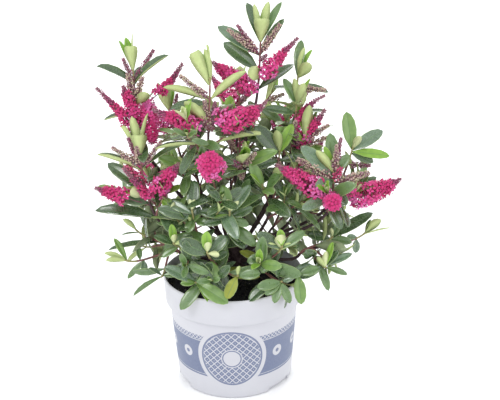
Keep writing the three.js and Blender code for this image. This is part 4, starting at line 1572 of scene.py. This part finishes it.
def pose_leaf(number, shoot, row):
    below, clock, lean, length, width, roll, fold, bend, tint, under = row
    share = 1 - below * mm / shoot.run.length
    roll = math.radians(roll)
    heading = pointing(clock, lean)
    inward = clockwise(clock - math.copysign(90, clock))
    seen = square_to(-outlook, heading)
    upper = square_to(seen * math.cos(roll) + inward * math.sin(roll), heading)
    foot = shoot.run.at(share) + unit(heading - shoot.run.heading(share) * 0.7) * shoot.width * 0.5
    long = length * mm
    room.take(foot + heading * long * mark_shares[:, None], (number, below))
    leaves["crown"].append((foot, heading, upper, long, width * mm, fold, bend,
                            outline_of(below, fold), tint_numbers[tint], under_numbers[under]))


def paler_or_sheen_tinted(tint, shade):
    """By chance a dark leaf is paler, and a dark or middling one turns bluish: a painted sheen, the pale
    sky's reflection painted into its colour.
    """
    if tint == "dark" and shade < 0.22:
        return "mid"
    if (tint == "dark" and shade > 0.9) or (tint == "mid" and shade > 0.88):
        return "bluish"
    return tint


def has_room(marks, order, owner):
    """Whether a leaf with these marks is clear of its neighbours, the pot and the sky gaps. The
    leaves of the tip stand close, so they keep no room from leaves and racemes."""
    if order > 1 and not (room.free(marks, owner) and clear_of_blooms(marks)):
        return False
    if not clear_of_pot(marks) or in_sky_gap(marks):
        return False
    return np.all(marks[-1] >= box_low) and np.all(marks[-1] <= box_high)


def grow_leaf(number, shoot, order, hand):
    """One leaf of a pair. Where its place is taken it is tried lifted, lowered and smaller."""
    below, opens, length, width, fold, bend, outline, tint, under = pair_tables[shoot.kind][order]
    far = shoot.run.length - below * mm
    shed = leaf_draw()
    if far < lowest_leaf or below < posed_down_to.get(shoot.label, 0):
        return
    if order > 3 and shed < 0.09 * (order - 2):
        return
    share = far / shoot.run.length
    along = shoot.run.heading(share)
    quarters = (order + 1) % 2 if shoot.kind == "crown" else order % 2
    turn = quarters * math.pi / 2 + math.pi * hand + (leaf_draw() - 0.5) * 0.5
    side = swung(shoot.facing(share), along, turn)
    opening = math.radians(opens + (leaf_draw() - 0.5) * (6 if order < 2 else 20))
    grown = (0.88 + 0.24 * leaf_draw()) if order > 1 else 0.95 + 0.1 * leaf_draw()
    roll = (leaf_draw() - 0.5) * 0.5
    bend = bend + (leaf_draw() - 0.5) * 0.4
    shade = leaf_draw()
    foot = shoot.run.at(share) + side * shoot.width * 0.6
    droop = 0.12 if order > 2 else 0.0
    for lift, scale in tries:
        opened = opening + lift
        heading = unit(along * math.cos(opened) + side * math.sin(opened) - up * droop)
        upper = square_to(along * math.sin(opened) - side * math.cos(opened), heading)
        upper = swung(upper, heading, roll)
        long = length * mm * grown * scale
        reach = long * mark_shares[:, None]
        marks = foot + heading * reach - upper * bend * reach * mark_shares[:, None] / 2
        if not has_room(marks, order, (number, order)):
            continue
        room.take(marks, (number, order))
        tint = paler_or_sheen_tinted(tint, shade)
        low_in_front = foot[2] < compost_level + old_leaf_height and foot[1] < 0
        if order > 5 and low_in_front and shade > 0.45:
            tint = "yellowed"
        leaves[shoot.kind].append((foot, heading, upper, long, width * mm * grown * scale, fold, bend,
                                   outline, tint_numbers[tint], under_numbers[under]))
        if shoot.kind == "crown" and order in (2, 3):
            bud_axils.append((order, foot, heading, upper, along))
        return


for number, shoot in enumerate(shoots):
    for row in posed_leaves.get(shoot.label, ()):
        pose_leaf(number, shoot, row)
for order in range(len(rosette_pairs)):
    for number, shoot in enumerate(shoots):
        if order < len(pair_tables[shoot.kind]):
            for hand in (0, 1):
                grow_leaf(number, shoot, order, hand)


def leaf_finish(name, deep, light, roughness, gloss):
    finish = Finish(name, gloss)
    mottle = finish.grain(150.0, 3.0)
    finish.colour(finish.blend(mottle, deep, light))
    finish.rough(roughness + finish.grain(420.0) * 0.14)
    finish.relief(finish.grain(600.0, 2.0), 0.08 * mm)
    return finish


leaf_finishes = [
    leaf_finish("leaf_dark", linear(40, 66, 34), linear(84, 112, 70), 0.2, 1.0),
    leaf_finish("leaf_mid", linear(60, 92, 44), linear(112, 144, 82), 0.22, 0.95),
    leaf_finish("leaf_fresh", linear(80, 120, 48), linear(132, 164, 84), 0.24, 0.85),
    leaf_finish("leaf_bright", linear(104, 150, 44), linear(154, 192, 80), 0.32, 0.5),
    leaf_finish("leaf_pale", linear(192, 204, 142), linear(220, 228, 176), 0.42, 0.4),
    leaf_finish("leaf_yellowed", linear(118, 130, 44), linear(160, 166, 66), 0.38, 0.45),
    # painted sheen: the sky's reflection painted into the colour of a bluish leaf
    leaf_finish("leaf_bluish_sheen", linear(66, 94, 68), linear(120, 146, 114), 0.2, 1.1),
    leaf_finish("underside_dull", linear(134, 148, 112), linear(164, 176, 140), 0.62, 0.3),
    leaf_finish("underside_lime", linear(170, 186, 120), linear(200, 212, 152), 0.62, 0.3),
    leaf_finish("underside_pale_lime", linear(194, 204, 148), linear(220, 226, 178), 0.62, 0.3),
    leaf_finish("midrib", linear(84, 116, 72), linear(118, 148, 98), 0.42, 0.4),
    leaf_finish("margin", linear(132, 156, 98), linear(178, 196, 140), 0.42, 0.4),
]
for kind, rows in leaves.items():
    heap = Heap()
    margins = np.full(len(rows), margin_number)
    midribs = np.full(len(rows), midrib_number)
    tints = [row[8] for row in rows]
    unders = [row[9] for row in rows]
    slots = np.stack([margins, tints, midribs, unders], 1)[:, leaf_parts]
    heap.add(leaf_shapes(rows), leaf_faces, slots)
    piece = heap.piece(f"leaves_{kind}", leaf_finishes)
    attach(piece, "root")
    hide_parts(*foliage_nodes)

# ---------------------------------------------------------------- the bud spikes
# On the upper shoots young racemes lie along the leaves, still in tight bud: beige-pink, granular
# and tapering, some already purple.

# For each leading shoot: how far below the tip a spike sits, its clock direction and lean, its
# length and radius, and its colour.
spike_colours = {"beige": (3, 5, 4), "purple": (5, 1, 2), "rose": (0, 6, 6)}
posed_spikes = {
    ("crown_top", 0): [
        (25, -53, 16, 46, 5.6, "beige"), (25, 36, 14, 40, 5.4, "beige"),
        (28, -35, 8, 43, 4.6, "purple"), (34, 50, 50, 14, 4.4, "purple"),
    ],
    ("crown_left", 0): [
        (16, 31, -14, 44, 4.6, "purple"), (18, -22, 12, 30, 4.6, "purple"),
        (40, -12, 24, 34, 6.4, "beige"), (38, 22, 28, 30, 5.8, "beige"),
    ],
    ("crown_centre", 0): [
        (26, -50, 18, 42, 5.2, "beige"), (62, -5, 20, 34, 5.4, "beige"),
        (68, 13, 14, 38, 5, "purple"), (62, -22, 20, 22, 4.6, "purple"),
    ],
    ("crown_right", 0): [(16, 96, 14, 32, 4.8, "beige")],
    ("crown_right", 2): [(7, 58, 16, 34, 5, "beige")],
    ("right_flowering", 0): [
        (10, -60, 14, 48, 7, "beige"), (15, 75, 16, 42, 7, "beige"),
        (1, 6, 22, 32, 4.6, "beige"), (4, 12, 8, 42, 4.6, "purple"), (12, 30, 40, 20, 6, "rose"),
    ],
    ("far_right", 0): [(24, 94, 10, 26, 4.8, "purple")],
    ("left_flowering", 0): [
        (14, -56, 12, 38, 5, "beige"), (16, -22, 12, 36, 5, "purple"),
        (14, -10, 30, 24, 5.6, "beige"), (16, 40, 14, 38, 4.8, "beige"), (42, -42, 20, 34, 8.6, "rose"),
    ],
}
for shoot in shoots:
    for below, clock, lean, length, radius, colour in posed_spikes.get(shoot.label, ()):
        share = 1 - below * mm / shoot.run.length
        heading = pointing(clock, lean)
        foot = shoot.run.at(share) + heading * shoot.width
        spike = Spike(foot, foot + heading * length * mm, radius * mm, 0)
        dress(spike, spike_colours[colour])

axil_spike_foot = 2 * mm
axil_spike_radius = 4.8 * mm
axil_draw = stream(91)
for order, foot, heading, upper, along in bud_axils:
    chance = axil_draw()
    length = (26 + 12 * axil_draw()) * mm
    if chance > (0.85 if order == 2 else 0.6):
        continue
    lean = unit(heading + upper * (0.22 + 0.25 * axil_draw()))
    if order == 3:
        lean = unit(along * 0.9 + heading * 0.55)
        length = length * 0.85
    colour = "beige" if axil_draw() < 0.6 else "purple"
    spike = Spike(foot + lean * axil_spike_foot, foot + lean * length, axil_spike_radius, 0)
    dress(spike, spike_colours[colour])

bud_finishes = [
    petal_finish("bud_magenta", linear(176, 34, 92), linear(214, 72, 130)),
    petal_finish("bud_purple", linear(128, 50, 88), linear(172, 84, 122)),
    petal_finish("bud_dull_pink", linear(140, 84, 104), linear(176, 124, 138)),
    petal_finish("bud_beige", linear(178, 150, 138), linear(208, 184, 170)),
    petal_finish("bud_beige_green", linear(160, 152, 122), linear(196, 190, 158)),
    petal_finish("bud_mauve", linear(138, 98, 112), linear(176, 134, 146)),
    petal_finish("bud_rose", linear(206, 96, 132), linear(226, 132, 160)),
]
open_florets = florets.piece("open_florets", floret_finishes, smooth=False)
flower_buds = buds.piece("flower_buds", bud_finishes)
flower_stalks = stalks.piece("flower_stalks", [flower_stalk])
for piece in (open_florets, flower_buds, flower_stalks):
    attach(piece, "root")
    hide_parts(*foliage_nodes)

# ---------------------------------------------------------------- the studio
# A plain pale floor, soft light from all round with a broad key light over the front left, and a
# long lens that looks down on the plant from the front.

floor_half = 6.0
bpy.ops.object.select_all(action="DESELECT")
bpy.ops.mesh.primitive_plane_add(size=2 * floor_half, location=(0, 0, -0.0005))
studio_floor = bpy.context.object
studio_floor.name = "studio_floor"
paper = Finish("studio_paper", gloss=0.1)
paper.colour(linear(250, 250, 251))
paper.rough(0.9)
studio_floor.data.materials.append(paper.material)
studio_floor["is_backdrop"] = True

world = bpy.data.worlds.new("studio_air")
bpy.context.scene.world = world
world.use_nodes = True
world.node_tree.nodes["Background"].inputs["Color"].default_value = (0.97, 0.985, 1.0, 1.0)
world.node_tree.nodes["Background"].inputs["Strength"].default_value = 1.1


def soft_box(name, place, target, size, power):
    lamp = bpy.data.lights.new(name, "AREA")
    lamp.shape = "RECTANGLE"
    lamp.size, lamp.size_y = size
    lamp.energy = power
    holder = bpy.data.objects.new(name, lamp)
    bpy.context.scene.collection.objects.link(holder)
    holder.location = place
    holder.rotation_euler = (Vector(target) - Vector(place)).to_track_quat("-Z", "Y").to_euler()


soft_box("key_light", (-0.9, -1.3, 1.7), (0, 0, 0.22), (0.6, 0.6), 12)
soft_box("fill_light", (1.3, -0.9, 1.0), (0, 0, 0.22), (1.0, 1.0), 3)
soft_box("rim_light", (0.2, 1.9, 1.5), (0, 0, 0.3), (1.6, 0.7), 26)

camera_pitch = 0.3862
camera_yaw = 0.0164
camera_roll = -0.019
image_width = 500
focal_pixels = 1156.4
lens = bpy.data.cameras.new("camera")
lens.sensor_width = 36
lens.lens = focal_pixels / image_width * lens.sensor_width
lens.clip_start, lens.clip_end = 0.05, 50
camera = bpy.data.objects.new("camera", lens)
bpy.context.scene.collection.objects.link(camera)
ahead = Vector((
    math.sin(camera_yaw) * math.cos(camera_pitch),
    math.cos(camera_yaw) * math.cos(camera_pitch),
    -math.sin(camera_pitch),
))
right = Vector((math.cos(camera_yaw), -math.sin(camera_yaw), 0))
above = right.cross(ahead)
right_rolled = right * math.cos(camera_roll) + above * math.sin(camera_roll)
above_rolled = above * math.cos(camera_roll) - right * math.sin(camera_roll)
camera.matrix_world = Matrix((
    (right_rolled.x, above_rolled.x, -ahead.x, viewpoint[0]),
    (right_rolled.y, above_rolled.y, -ahead.y, viewpoint[1]),
    (right_rolled.z, above_rolled.z, -ahead.z, viewpoint[2]),
    (0, 0, 0, 1),
))
bpy.context.scene.camera = camera
bpy.context.scene.view_settings.view_transform = "Standard"

dressed_low, dressed_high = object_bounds()
sizes = {
    "solids": [list(solids_low), list(solids_high)],
    "dressed": [list(dressed_low), list(dressed_high)],
}
